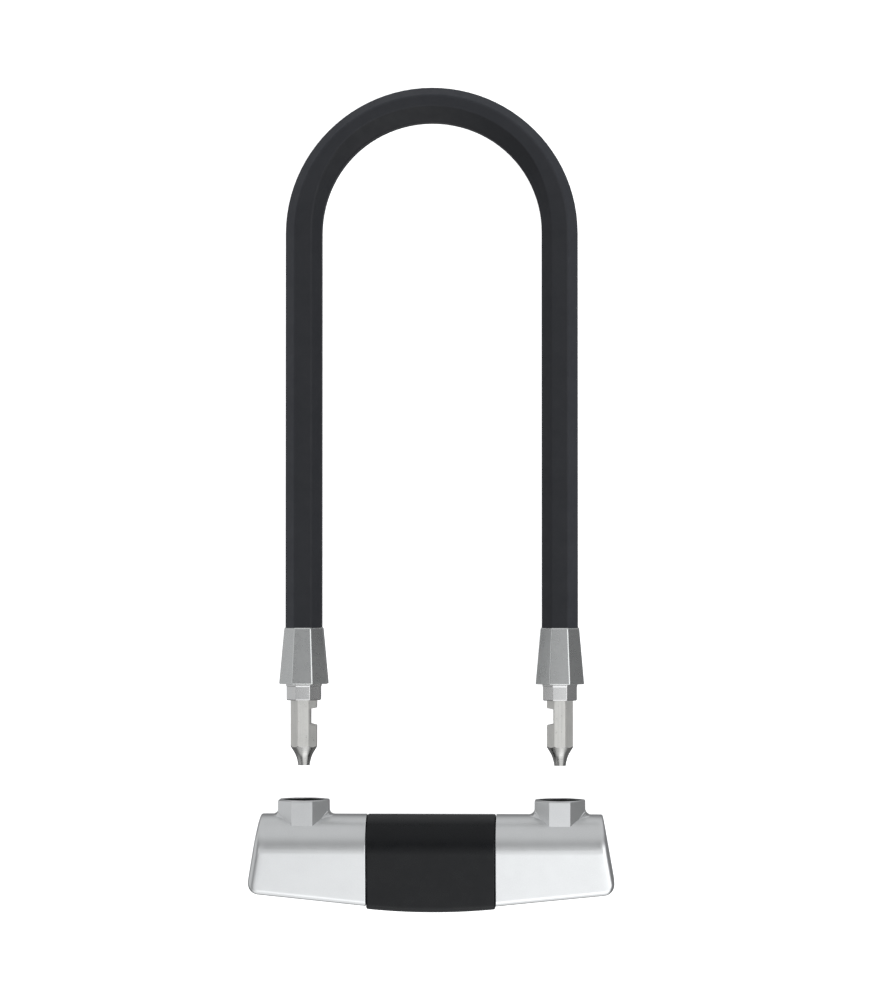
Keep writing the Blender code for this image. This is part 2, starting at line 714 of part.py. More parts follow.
def scroll_slot(side):
    """A spiral slot, long enough at both ends for the round of its follower pin."""
    first = -SLOT_HALF / PIN_START_RADIUS
    last = radians(BOLT_TURN) + SLOT_HALF / PIN_END_RADIUS
    turns = [first + (last - first) * k / SCROLL_STEPS for k in range(SCROLL_STEPS + 1)]
    outline = [scroll_point(turn, SLOT_HALF, side) for turn in turns]
    outline += [scroll_point(turn, -SLOT_HALF, side) for turn in reversed(turns)]
    return prism(outline, CAM_LOW - PAST, CAM_HIGH + PAST)


def scroll_cam(parent, material):
    """The disc whose two spiral slots drive both bolts outwards together."""
    item = piece("scroll_cam", prism(circle(CAM_RADIUS, 48), CAM_LOW, CAM_HIGH), parent, material)
    half = TANG_WIDTH / 2 + GAP
    hole = prism(rectangle(-half, half, -half, half), CAM_LOW - PAST, CAM_HIGH + PAST)
    change(item, "tang_hole", hole)
    change(item, "slot_right", scroll_slot(1))
    change(item, "slot_left", scroll_slot(-1))


def cam_screw(parent, material):
    low = CAM_HIGH + GAP
    bm = prism(circle(SCREW_HEAD_RADIUS, 24), low, low + SCREW_HEAD_THICK, "Y", 0, 0.2 * MM)
    item = piece("cam_screw", bm, parent, material)
    shank = prism(circle(SCREW_RADIUS, 12), low - SCREW_LENGTH, low + SCREW_HEAD_THICK / 2)
    change(item, "shank", shank, "UNION")


# ---------------------------------------------------------------- key cylinder


def cylinder_shell(parent, material):
    """The fixed tube that the plug turns in, flush with the boss."""
    stations = [(CYLINDER_LOW, CYLINDER_BORE - GAP), (CYLINDER_HIGH, CYLINDER_BORE - GAP)]
    bm = tapered_tube(stations, PLUG_RADIUS + GAP, circle)
    item = piece("cylinder_shell", bm, parent, material)
    change(item, "pin_groove", cylinder_pin_body(CYLINDER_PIN_RADIUS + GAP, PAST))


def cylinder_pin_body(radius, past):
    """A cross pin that runs through the edge of the cylinder and keeps it in the boss."""
    at_x = CYLINDER_BORE - CYLINDER_PIN_BITE
    outline = [(at_x + a, CYLINDER_PIN_Y + b) for a, b in circle(radius, 16)]
    half = CYLINDER_BORE + past
    return prism(outline, -half - past, half, "Z")


def cylinder_pin(parent, material):
    piece("cylinder_pin", cylinder_pin_body(CYLINDER_PIN_RADIUS, 0.0), parent, material)


def sidebar_slot(low, high, past):
    """The space round the sidebar, cut through the wall of the plug and the rims of the discs."""
    half = SIDEBAR_WIDTH / 2 + GAP
    floor = DISC_RADIUS + PLUG_WALL - SIDEBAR_DEPTH - GAP
    return prism(rectangle(-half, half, floor, PLUG_RADIUS + past), low, high)


def cylinder_plug(parent, material):
    """The turning cup that holds the discs, with the keyway through its face."""
    item = piece("cylinder_plug", prism(circle(PLUG_RADIUS), PLUG_LOW, PLUG_HIGH), parent, material)
    hollow = prism(circle(DISC_RADIUS + GAP), PLUG_LOW + PLUG_FACE, PLUG_HIGH + PAST)
    change(item, "hollow", hollow)
    change(item, "keyway", prism(long_hole(KEYWAY_LENGTH, KEYWAY_WIDTH), PLUG_LOW - PAST, PLUG_HIGH))
    slot = sidebar_slot(PLUG_LOW + PLUG_FACE, PLUG_HIGH - 1 * MM, PAST)
    change(item, "sidebar_slot", slot)


def detainer_discs(parent, material):
    """The stack of discs in the plug, each notched for the sidebar."""
    first = PLUG_LOW + PLUG_FACE + GAP
    for k in range(DISC_COUNT):
        low = first + k * (DISC_THICK + GAP)
        bm = prism(circle(DISC_RADIUS, 24), low, low + DISC_THICK)
        item = piece(f"detainer_disc_{k + 1}", bm, parent, material)
        key_hole = long_hole(KEYWAY_LENGTH + GAP, KEYWAY_WIDTH + GAP)
        change(item, "key_hole", prism(key_hole, low - PAST, low + DISC_THICK + PAST))
        change(item, "notch", sidebar_slot(low - PAST, low + DISC_THICK + PAST, PAST))


def sidebar(parent, material):
    half = SIDEBAR_WIDTH / 2
    high = DISC_RADIUS + PLUG_WALL
    low_y = PLUG_LOW + PLUG_FACE + GAP
    outline = rectangle(-half, half, high - SIDEBAR_DEPTH, high)
    piece("sidebar", prism(outline, low_y, PLUG_HIGH - 1 * MM - GAP), parent, material)


def plug_driver(parent, material):
    """The disc that closes the plug and carries the square tang of the cam."""
    low = PLUG_HIGH + GAP
    item = piece("plug_driver", prism(circle(PLUG_RADIUS), low, CYLINDER_HIGH), parent, material)
    half = TANG_WIDTH / 2
    tang = prism(rectangle(-half, half, -half, half), CYLINDER_HIGH - 1 * MM, CAM_HIGH - GAP)
    change(item, "tang", tang, "UNION")
    hole = prism(circle(SCREW_RADIUS + GAP, 12), CAM_HIGH - SCREW_LENGTH, CAM_HIGH + PAST)
    change(item, "screw_hole", hole)


# ---------------------------------------------------------------- keyway bezel and cover


def bezel_outline(spare):
    """(lowest x, highest x, half width) of the bezel, grown by spare."""
    low = -COVER_LENGTH_X / 2 - GAP - BEZEL_RIM
    high = COVER_LENGTH_X / 2 + COVER_TRAVEL + GAP + BEZEL_RIM
    half = COVER_HALF + GAP + BEZEL_SIDE
    return low - spare, high + spare, half + spare


def keyway_bezel(parent, material):
    """The frame let into the underside of the band, with a T-slot for the cover to slide in."""
    low_x, high_x, half = bezel_outline(0.0)
    bm = prism(rectangle(low_x, high_x, -half, half), BEZEL_LOW, BEZEL_HIGH)
    item = piece("keyway_bezel", bm, parent, material)
    end_low = low_x + BEZEL_RIM
    end_high = high_x - BEZEL_RIM
    inner = COVER_HALF - COVER_LIP + GAP
    mouth = prism(rectangle(end_low, end_high, -inner, inner), BEZEL_LOW - PAST, slot_high())
    change(item, "mouth", mouth)
    wide = COVER_HALF + GAP
    slot = prism(rectangle(end_low, end_high, -wide, wide), BEZEL_LOW + BEZEL_MOUTH, slot_high())
    change(item, "slot", slot)
    change(item, "keyhole", prism(circle(KEYHOLE_RADIUS), BEZEL_LOW - PAST, BEZEL_HIGH + PAST))


def slot_high():
    """The ceiling of the T-slot."""
    return BEZEL_LOW + BEZEL_MOUTH + COVER_PLATE + 2 * GAP


def keyway_cover(parent, material):
    """The dust cover: a tongued plate with a ridged pad for the thumb."""
    low = BEZEL_LOW + BEZEL_MOUTH + GAP
    half_x = COVER_LENGTH_X / 2
    bm = prism(rectangle(-half_x, half_x, -COVER_HALF, COVER_HALF), low, low + COVER_PLATE)
    item = piece("keyway_cover", bm, parent, material)
    narrow = COVER_HALF - COVER_LIP
    outline = [(half_x - 1 * MM, low + COVER_PLATE / 2), (-half_x + 1 * MM, low + COVER_PLATE / 2)]
    pad_low = low - COVER_PAD
    outline.append((-half_x + 1 * MM, pad_low + COVER_RIDGE))
    pitch = (COVER_LENGTH_X - 2 * MM) / COVER_RIDGES
    for k in range(COVER_RIDGES):
        start = -half_x + 1 * MM + k * pitch
        outline.append((start + 0.3 * pitch, pad_low))
        outline.append((start + 0.7 * pitch, pad_low))
        outline.append((start + pitch, pad_low + COVER_RIDGE))
    change(item, "pad", prism(outline, -narrow, narrow, "Z"), "UNION")


# ---------------------------------------------------------------- assembly


def build_crossbar(parent):
    satin = finish("satin_zinc", SATIN_ZINC)
    steel = finish("bare_steel", STEEL)
    dark = finish("hardened_steel", DARK_STEEL)
    rubber = finish("black_rubber", BLACK_RUBBER)
    core_housing(parent, dark)
    centre_band(parent, finish("black_satin", BLACK_SATIN))
    for side, label in ((-1, "left"), (1, "right")):
        end_casing(f"end_casing_{label}", side, parent, satin)
        foot_socket(f"foot_socket_{label}", side, parent, dark)
        socket_seal(f"socket_seal_{label}", side, parent, rubber)
        casing_pin(f"casing_pin_{label}", side, parent, steel)
        core_end_plug(f"core_end_plug_{label}", side, parent, dark)
    cylinder_shell(parent, finish("brass", BRASS))
    cylinder_pin(parent, steel)
    keyway_bezel(parent, finish("black_plastic", BLACK_SATIN))


def build_plug(parent):
    brass = finish("brass", BRASS)
    steel = finish("bare_steel", STEEL)
    cylinder_plug(parent, brass)
    detainer_discs(parent, brass)
    sidebar(parent, steel)
    plug_driver(parent, steel)
    scroll_cam(parent, finish("hardened_steel", DARK_STEEL))
    cam_screw(parent, steel)


def build_shackle(parent):
    shackle_bar(parent, finish("bare_steel", STEEL))
    shackle_cover(parent, finish("black_vinyl", BLACK_VINYL))
    zinc = finish("grey_zinc", GREY_ZINC)
    for side, label in ((-1, "left"), (1, "right")):
        collar(f"collar_{label}", side, parent, zinc)
        ferrule(f"ferrule_{label}", side, parent, zinc)


def main():
    clear_scene()
    axis = empty("crossbar_axis", Vector((0, 0, AXIS_HEIGHT)))
    build_crossbar(axis)
    build_plug(empty("plug_axis", axis.location, axis))
    for side, label in ((-1, "left"), (1, "right")):
        slide = empty(f"bolt_{label}_slide", axis.location, axis)
        lock_bolt(f"lock_bolt_{label}", side, slide, finish("hardened_steel", DARK_STEEL))
        follower_pin(f"follower_pin_{label}", side, slide, finish("bare_steel", STEEL))
    keyway_cover(empty("cover_slide", axis.location, axis), finish("black_plastic", BLACK_SATIN))
    build_shackle(empty("shackle_slide", Vector((0, SHACKLE_Y, AXIS_HEIGHT)), axis))


main()
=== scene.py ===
"""The looks of a bicycle U-lock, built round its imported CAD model.

Metres, in the model's own frame: the lock lies on its back on the floor, +X along the crossbar,
+Y from the crossbar towards the shackle's arc and +Z out of the front.
"""

import json
import logging
from dataclasses import dataclass
from enum import Enum
from math import atan2, cos, hypot, pi, radians, sin, sqrt, tan
from typing import Callable, Iterable, Optional, Sequence

import bmesh
import bpy
from bmesh.types import BMEdge, BMesh, BMFace, BMVert
from bpy.types import ID, Material, Node, NodeSocket, Object
from mathutils import Matrix, Vector


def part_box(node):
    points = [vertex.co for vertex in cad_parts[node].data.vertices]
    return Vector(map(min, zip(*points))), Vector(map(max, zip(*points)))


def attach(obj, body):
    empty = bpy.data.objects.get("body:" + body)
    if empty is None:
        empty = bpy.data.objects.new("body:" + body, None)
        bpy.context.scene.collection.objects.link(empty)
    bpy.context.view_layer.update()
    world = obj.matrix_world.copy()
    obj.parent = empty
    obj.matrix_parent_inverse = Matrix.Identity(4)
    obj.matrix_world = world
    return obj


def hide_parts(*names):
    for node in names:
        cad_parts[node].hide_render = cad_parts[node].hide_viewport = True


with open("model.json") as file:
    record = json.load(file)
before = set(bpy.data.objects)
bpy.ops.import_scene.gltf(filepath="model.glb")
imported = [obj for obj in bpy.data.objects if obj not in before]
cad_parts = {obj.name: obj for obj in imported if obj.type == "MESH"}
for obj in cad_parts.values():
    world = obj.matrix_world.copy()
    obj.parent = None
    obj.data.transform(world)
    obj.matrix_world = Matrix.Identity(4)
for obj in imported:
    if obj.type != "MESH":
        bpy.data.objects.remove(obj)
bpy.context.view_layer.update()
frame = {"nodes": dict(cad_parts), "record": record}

MM = 0.001
LOG = logging.getLogger("u_lock")


class Side(Enum):
    """The two halves of the lock, by the sign of X."""

    LEFT = -1
    RIGHT = 1

    @property
    def label(self) -> str:
        """The side's name, as it ends a node's name."""
        return self.name.lower()


class Carve(Enum):
    """What a second solid does to a piece."""

    CUT = "DIFFERENCE"
    JOIN = "UNION"


# ---------------------------------------------------------------- finishes


class Board:
    """The node tree of a material or a world, with short calls for what they share."""

    def __init__(self, owner: ID, shader: str = "Principled BSDF") -> None:
        """Starts from a new material's or world's own nodes.

        Args:
            owner: The material or world.
            shader: The node that the rest feeds.
        """
        self.owner = owner
        owner.use_nodes = True
        self.tree = owner.node_tree
        self.shader = self.tree.nodes[shader]
        self.coordinates = self.add("ShaderNodeTexCoord").outputs
        self.place = self.coordinates["Object"]

    def add(self, kind: str, **values: object) -> Node:
        """Adds a node and sets its properties, or its inputs where a name is an input's.

        Args:
            kind: The node's type.
            values: Properties and input values by name, with _ for a space in an input's name.

        Returns:
            The node.
        """
        node = self.tree.nodes.new(kind)
        for key, value in values.items():
            socket = node.inputs.get(key.replace("_", " "))
            if socket is None:
                setattr(node, key, value)
            elif isinstance(value, NodeSocket):
                self.tree.links.new(value, socket)
            else:
                socket.default_value = value
        return node

    def stretched(self, scale: Sequence[float]) -> NodeSocket:
        """Object coordinates multiplied axis by axis, for a pattern drawn out one way."""
        return self.add("ShaderNodeMapping", Vector=self.place, Scale=tuple(scale)).outputs[0]

    def noise(self, scale: float, detail: float = 4.0, stretch: Optional[Sequence[float]] = None
              ) -> NodeSocket:
        """A noise pattern.

        Args:
            scale: Features per metre.
            detail: Octaves of finer noise.
            stretch: Factors on the coordinates, or None.

        Returns:
            The noise's value socket.
        """
        where = self.stretched(stretch) if stretch else self.place
        node = self.add("ShaderNodeTexNoise", Vector=where, Scale=scale, Detail=detail, Roughness=0.6)
        return node.outputs["Fac"]

    def spread(self, value: NodeSocket, low: float, high: float,
               to_low: float = 0.0, to_high: float = 1.0) -> NodeSocket:
        """Maps a range of a value smoothly on to another range.

        Args:
            value: The value to map.
            low: Its low end.
            high: Its high end.
            to_low: The result at the low end.
            to_high: The result at the high end.

        Returns:
            The mapped value.
        """
        node = self.add("ShaderNodeMapRange", interpolation_type="SMOOTHSTEP")
        self.tree.links.new(value, node.inputs["Value"])
        for name, number in zip(("From Min", "From Max", "To Min", "To Max"), (low, high, to_low, to_high)):
            node.inputs[name].default_value = number
        return node.outputs["Result"]

    def math(self, operation: str, first: object, second: object) -> NodeSocket:
        """Works out a value from two others, each a number or a socket.

        Args:
            operation: What is done with them.
            first: The first value.
            second: The second value.

        Returns:
            The result.
        """
        node = self.add("ShaderNodeMath", operation=operation)
        for socket, value in zip(node.inputs, (first, second)):
            if isinstance(value, NodeSocket):
                self.tree.links.new(value, socket)
            else:
                socket.default_value = value
        return node.outputs[0]

    def mix(self, share: NodeSocket, first: object, second: object) -> NodeSocket:
        """Mixes two colours.

        Args:
            share: The second's share.
            first: A colour or a socket.
            second: A colour or a socket.

        Returns:
            The mixed colour.
        """
        node = self.add("ShaderNodeMix", data_type="RGBA", clamp_factor=True)
        self.tree.links.new(share, node.inputs[0])
        for socket, value in ((node.inputs[6], first), (node.inputs[7], second)):
            if isinstance(value, NodeSocket):
                self.tree.links.new(value, socket)
            else:
                socket.default_value = (*value, 1.0)
        return node.outputs[2]

    def bump(self, height: NodeSocket, depth: float, strength: float = 1.0,
             below: Optional[NodeSocket] = None) -> NodeSocket:
        """A bump, laid over another one if given.

        Args:
            height: The pattern.
            depth: How deep it is, in metres.
            strength: Its share, from 0 to 1.
            below: The normal that it is laid over.

        Returns:
            The bumped normal.
        """
        node = self.add("ShaderNodeBump", Height=height, Distance=depth, Strength=strength)
        if below is not None:
            self.tree.links.new(below, node.inputs["Normal"])
        return node.outputs["Normal"]

    def dress(self, **sockets: object) -> ID:
        """Sets or links inputs of the shader.

        Args:
            sockets: Values or sockets, by the input's name.

        Returns:
            The material or world.
        """
        for key, value in sockets.items():
            socket = self.shader.inputs[key.replace("_", " ")]
            if isinstance(value, NodeSocket):
                self.tree.links.new(value, socket)
            else:
                socket.default_value = value
        return self.owner


Colour = tuple[float, float, float]


def toned(colour: Colour, factor: float) -> Colour:
    """A colour made lighter or darker."""
    return tuple(min(1.0, part * factor) for part in colour)


@dataclass(frozen=True)
class Finish:
    """What every finish has; its material is made once."""

    name: str
    colour: Colour
    roughness: float

    def painted(self, board: Board) -> Material:
        """Fills a new material's board.

        Args:
            board: The board.

        Returns:
            The material.
        """
        raise NotImplementedError

    def material(self) -> Material:
        """The finish's material, made at the first call.

        Returns:
            The material.
        """
        title = f"{self.name}_finish"
        if title in bpy.data.materials:
            return bpy.data.materials[title]
        return self.painted(Board(bpy.data.materials.new(title)))


@dataclass(frozen=True)
class MetalFinish(Finish):
    """A metal surface: tone that drifts slowly, a fine grain, faint lines and small pits."""

    drift: float = 0.06
    grain: float = 0.004 * MM
    grain_scale: float = 2600.0
    lines: float = 0.0
    line_stretch: tuple[float, float, float] = (1.0, 40.0, 40.0)
    pits: float = 0.0
    unevenness: float = 0.015

    def painted(self, board: Board) -> Material:
        """Fills a new material's board.

        Args:
            board: The board.

        Returns:
            The material.
        """
        slow = board.spread(board.noise(70.0, 3.0), 0.3, 0.7)
        tone = board.mix(slow, toned(self.colour, 1 - 2 * self.drift), self.colour)
        fine = board.noise(self.grain_scale, 3.0)
        tone = board.mix(board.spread(fine, 0.35, 0.75), tone, toned(self.colour, 1.03))
        normal = board.bump(fine, self.grain)
        if self.lines:
            streaks = board.noise(45.0, 5.0, self.line_stretch)
            normal = board.bump(streaks, self.lines, below=normal)
            tone = board.mix(board.spread(streaks, 0.25, 0.6), toned(self.colour, 0.9), tone)
        if self.pits:
            hollow = board.spread(board.noise(620.0, 2.0), 0.24, 0.36)
            normal = board.bump(hollow, self.pits, below=normal)
            tone = board.mix(hollow, toned(self.colour, 0.62), tone)
        rough = board.spread(board.noise(210.0, 5.0), 0.3, 0.7,
                             self.roughness - self.unevenness, self.roughness + self.unevenness)
        return board.dress(Base_Color=tone, Roughness=rough, Normal=normal, Metallic=1.0)


@dataclass(frozen=True)
class Rubbing:
    """Painted light and shade on a U-shaped piece, partly standing for handling wear: its outside painted
    lighter, its arc's front a little lighter, the inner facet of its arc painted darker as shade.
    """

    arc_y: float
    near: float  # distance from the U's middle line where the outside begins
    far: float  # and where it is full
    gain: float  # how much lighter the outside is painted, as painted light and wear
    edge: float  # distance from the middle line to the inner facet's edge, on the legs
    edge_shift: float  # how far the bend draws that edge outwards
    bend_rise: float  # height above the arc's start where the bend has its full section
    front: float = 1.2  # how much lighter the arc's front is painted, as painted light
    shade: float = 0.55  # what is left of the tone on its inner facet, as painted shade
    edge_blur: float = 0.4 * MM

    def painted_light_shade_over(self, board: Board, tone: NodeSocket) -> NodeSocket:
        """Paints light on a tone towards the outside of the U and paints shade on it inside the arc.

        Args:
            board: The material.
            tone: Its colour so far.

        Returns:
            The new colour.
        """
        split = board.add("ShaderNodeSeparateXYZ", Vector=board.place).outputs
        above = board.math("MAXIMUM", board.math("SUBTRACT", split["Y"], self.arc_y), 0.0)
        flat = board.add("ShaderNodeCombineXYZ", X=split["X"], Y=above).outputs[0]
        distance = board.add("ShaderNodeVectorMath", operation="LENGTH", Vector=flat).outputs["Value"]
        # painted light on the outside of the U
        outside = board.spread(distance, self.near, self.far, 1.0, self.gain)
        bent = board.spread(above, 0.0, self.bend_rise)
        straight = board.math("SUBTRACT", distance, board.math("MULTIPLY", bent, self.edge_shift))
        # painted light on the arc's front and painted shade on its inner facet
        facing = board.spread(straight, self.edge - self.edge_blur, self.edge + self.edge_blur,
                              self.shade - 1, self.front - 1)
        share = board.math("MULTIPLY", outside, board.math("ADD", 1.0, board.math("MULTIPLY", bent, facing)))
        return board.add("ShaderNodeVectorMath", operation="SCALE", Vector=tone, Scale=share).outputs[0]


@dataclass(frozen=True)
class MouldedFinish(Finish):
    """A moulded or coated black: leathery fine grain, a dusting of lighter rubbed specks."""

    rubbed_and_highlit: Colour
    grain: float
    grain_scale: float
    specular: float
    # painted light and shade by place, partly standing for handling wear, if any
    rubbing: Optional[Rubbing] = None

    def painted(self, board: Board) -> Material:
        """Fills a new material's board.

        Args:
            board: The board.

        Returns:
            The material.
        """
        cells = board.add("ShaderNodeTexVoronoi", Vector=board.place, Scale=self.grain_scale,
                          feature="SMOOTH_F1").outputs["Distance"]
        fine = board.noise(self.grain_scale * 1.9, 3.0)
        slow = board.spread(board.noise(60.0, 4.0), 0.32, 0.68)
        worn = tuple(0.75 * a + 0.25 * b for a, b in zip(self.colour, self.rubbed_and_highlit))
        tone = board.mix(slow, self.colour, worn)
        tone = board.mix(board.spread(fine, 0.55, 0.85), tone, self.rubbed_and_highlit)
        # painted light and shade by place on the U, partly handling wear
        if self.rubbing:
            tone = self.rubbing.painted_light_shade_over(board, tone)
        normal = board.bump(cells, self.grain)
        normal = board.bump(fine, self.grain * 0.6, below=normal)
        rough = board.spread(board.noise(160.0, 4.0), 0.3, 0.7,
                             self.roughness - 0.05, self.roughness + 0.06)
        return board.dress(Base_Color=tone, Roughness=rough, Normal=normal, Specular_IOR_Level=self.specular)


SATIN_ZINC = MetalFinish("satin_zinc", (0.73, 0.735, 0.735), 0.30, drift=0.02, grain=0.0012 * MM)
# the edge finishes are lighter than the faces they edge: painted highlight along the rounded edges, also
# polished wear
SATIN_EDGE_HIGHLIGHT_AND_WEAR = MetalFinish("satin_zinc_edge_highlight_and_wear", (0.80, 0.81, 0.81), 0.28, drift=0.02, grain=0.001 * MM)
GREY_ZINC = MetalFinish("grey_zinc", (0.57, 0.575, 0.57), 0.28, drift=0.02, grain=0.0003 * MM,
                        grain_scale=900.0)
GREY_EDGE_HIGHLIGHT_AND_WEAR = MetalFinish("grey_zinc_edge_highlight_and_wear", (0.74, 0.75, 0.74), 0.26, drift=0.02, grain=0.0003 * MM,
                        grain_scale=900.0)
FERRULE_ZINC = MetalFinish("ferrule_zinc", (0.68, 0.675, 0.67), 0.26, drift=0.03, grain=0.0012 * MM)
BARE_STEEL = MetalFinish("bare_steel", (0.74, 0.73, 0.70), 0.52, drift=0.07, grain=0.002 * MM,
                         lines=0.002 * MM, line_stretch=(30.0, 1.0, 30.0), pits=0.004 * MM, unevenness=0.04)
TURNED_STEEL = MetalFinish("turned_steel", (0.45, 0.445, 0.43), 0.24, drift=0.06, grain=0.002 * MM,
                           lines=0.002 * MM, line_stretch=(1.0, 40.0, 1.0), unevenness=0.04)
HARDENED_STEEL = MetalFinish("hardened_steel", (0.27, 0.27, 0.28), 0.42, drift=0.08, pits=0.004 * MM)
BRASS = MetalFinish("brass", (0.70, 0.52, 0.24), 0.32, drift=0.05, lines=0.002 * MM,
                    line_stretch=(1.0, 50.0, 1.0))
BLACK_SATIN = MouldedFinish("black_satin", (0.0025, 0.003, 0.004), 0.30, (0.005, 0.006, 0.008),
                            grain=0.0006 * MM, grain_scale=3200.0, specular=0.28)
BLACK_VINYL = MouldedFinish("black_vinyl", (0.0170, 0.0180, 0.0215), 0.55, (0.029, 0.030, 0.034),
                            grain=0.010 * MM, grain_scale=2200.0, specular=0.27,
                            # the sleeve's outside and arc front painted lighter, the inner facet of its arc
                            # painted darker: painted light and shade, partly handling wear
                            rubbing=Rubbing(arc_y=314.2 * MM, near=67.2 * MM, far=69.0 * MM, gain=1.6,
                                            edge=59.7 * MM, edge_shift=3.2 * MM, bend_rise=52 * MM))
BLACK_PLASTIC = MouldedFinish("black_plastic", (0.012, 0.012, 0.013), 0.48, (0.024, 0.024, 0.026),
                              grain=0.006 * MM, grain_scale=2600.0, specular=0.45)
BLACK_RUBBER = MouldedFinish("black_rubber", (0.010, 0.010, 0.011), 0.72, (0.020, 0.020, 0.021),
                             grain=0.008 * MM, grain_scale=1800.0, specular=0.3)


# ---------------------------------------------------------------- shaping


def faces_of(items: Iterable[object]) -> list[BMFace]:
    """The faces in a list of mesh elements."""
    return [item for item in items if isinstance(item, BMFace)]


def verts_of(items: Iterable[object]) -> list[BMVert]:
    """The vertices in a list of mesh elements."""
    return [item for item in items if isinstance(item, BMVert)]


def drawn(bm: BMesh, faces: list[BMFace], move: Vector,
          scale: Sequence[float] = (1.0, 1.0, 1.0), about: Optional[Vector] = None
          ) -> list[BMFace]:
    """Draws end faces on.

    Args:
        bm: The mesh.
        faces: The end faces.
        move: How far they move.
        scale: What they are scaled by, axis by axis, after the move.
        about: The point that they are scaled about.

    Returns:
        The new end faces.
    """
    closed = all(len(edge.link_faces) > 1 for face in faces for edge in face.edges)
    made = bmesh.ops.extrude_face_region(bm, geom=faces)["geom"]
    if closed:
        bmesh.ops.delete(bm, geom=faces, context="FACES")
    verts = verts_of(made)
    bmesh.ops.translate(bm, verts=verts, vec=move)
    if about is not None:
        bmesh.ops.scale(bm, verts=verts, vec=scale, space=Matrix.Translation(-about))
    return faces_of(made)


def across_y(centre: Vector, turn: float = 0.0) -> Matrix:
    """Where a flat shape stands across Y at a point, turned about Y first."""
    return Matrix.Translation(centre) @ Matrix.Rotation(pi / 2, 4, "X") @ Matrix.Rotation(turn, 4, "Z")


def octagon(bm: BMesh, flats: float, centre: Vector) -> list[BMFace]:
    """A filled octagon across Y, a flat towards each axis.

    Args:
        bm: The mesh.
        flats: Size across the flats.
        centre: Its middle.

    Returns:
        Its one face, in a list.
    """
    made = bmesh.ops.create_circle(bm, cap_ends=True, segments=8, radius=flats / 2 / cos(pi / 8),
                                   matrix=across_y(centre, pi / 8))
    return list(made["verts"][0].link_faces)


def disc(bm: BMesh, radius: float, centre: Vector, sides: int = 64) -> list[BMFace]:
    """A filled circle across Y.

    Args:
        bm: The mesh.
        radius: Its radius.
        centre: Its middle.
        sides: How many sides it has.

    Returns:
        Its one face, in a list.
    """
    made = bmesh.ops.create_circle(bm, cap_ends=True, segments=sides, radius=radius, matrix=across_y(centre))
    return list(made["verts"][0].link_faces)


def lathe(bm: BMesh, profile: Sequence[tuple[float, float]], centre: Vector, steps: int = 64
          ) -> None:
    """Turns a closed profile of (radius, y) points round the Y axis through a point.

    Args:
        bm: The mesh.
        profile: The profile's points.
        centre: A point on the axis; the profile's y counts from it.
        steps: How many steps a turn has.
    """
    verts = [bmesh.ops.create_vert(bm, co=centre + Vector((r, y, 0)))["vert"][0] for r, y in profile]
    edges = [bm.edges.new((a, b)) for a, b in zip(verts, verts[1:] + verts[:1])]
    bmesh.ops.spin(bm, geom=verts + edges, cent=centre, axis=(0, 1, 0), angle=2 * pi, steps=steps,
                   use_merge=True, use_duplicate=False)
    bmesh.ops.recalc_face_normals(bm, faces=bm.faces)


def block(bm: BMesh, low: Vector, high: Vector) -> list[BMVert]:
    """A box between two corners.

    Args:
        bm: The mesh.
        low: Its lowest corner.
        high: Its highest corner.

    Returns:
        Its vertices.
    """
    size = high - low
    placed = Matrix.Translation((low + high) / 2) @ Matrix.Diagonal((*size, 1))
    return bmesh.ops.create_cube(bm, size=1.0, matrix=placed)["verts"]


def sharp_edges(bm: BMesh, over: float = 28.0,
                where: Optional[Callable[[Vector], bool]] = None) -> list[BMEdge]:
    """Edges whose faces meet at more than an angle.

    Args:
        bm: The mesh.
        over: The angle in degrees.
        where: A test of the edge's middle, or None for every edge.

    Returns:
        The edges.
    """
    bm.normal_update()
    found = [e for e in bm.edges if e.is_manifold and e.calc_face_angle(0.0) > radians(over)]
    return [e for e in found if where is None or where((e.verts[0].co + e.verts[1].co) / 2)]


def softened(bm: BMesh, edges: list[BMEdge], width: float, segments: int = 2,
             rubbed_and_highlit: bool = False) -> None:
    """Rounds edges.

    Args:
        bm: The mesh.
        edges: The edges.
        width: The round's width.
        segments: Its steps.
        rubbed_and_highlit: Whether the new faces take the piece's second finish, a lighter one that paints a
            highlight along the edge and also stands for polished wear.
    """
    made = bmesh.ops.bevel(bm, geom=edges, offset=width, offset_type="OFFSET", segments=segments, profile=0.5,
                           affect="EDGES", clamp_overlap=True, material=-1)
    if rubbed_and_highlit:
        for face in made["faces"]:
            face.material_index = 1


def ordered(bm: BMesh) -> None:
    """Sorts a mesh's elements by their place, so that every run gives the same shape.

    Args:
        bm: The mesh.
    """
    def place(verts: Sequence[BMVert]) -> float:
        """The middle of some vertices as one number, in thousandths of a millimetre."""
        total = sum((vert.co for vert in verts), Vector())
        x, y, z = (round(part / len(verts) / (0.001 * MM)) for part in total)
        return float((x * 2**20 + y) * 2**20 + z)

    bm.verts.sort(key=lambda vert: place([vert]))
    bm.edges.sort(key=lambda edge: place(edge.verts))
    bm.faces.sort(key=lambda face: place(face.verts))


def solid(bm: BMesh, name: str) -> Object:
    """Makes an object of a mesh in the making, which is freed.

    Args:
        bm: The mesh.
        name: The object's name.

    Returns:
        The object.
    """
    ordered(bm)
    mesh = bpy.data.meshes.new(name)
    bm.to_mesh(mesh)
    bm.free()
    item = bpy.data.objects.new(name, mesh)
    bpy.context.scene.collection.objects.link(item)
    return item


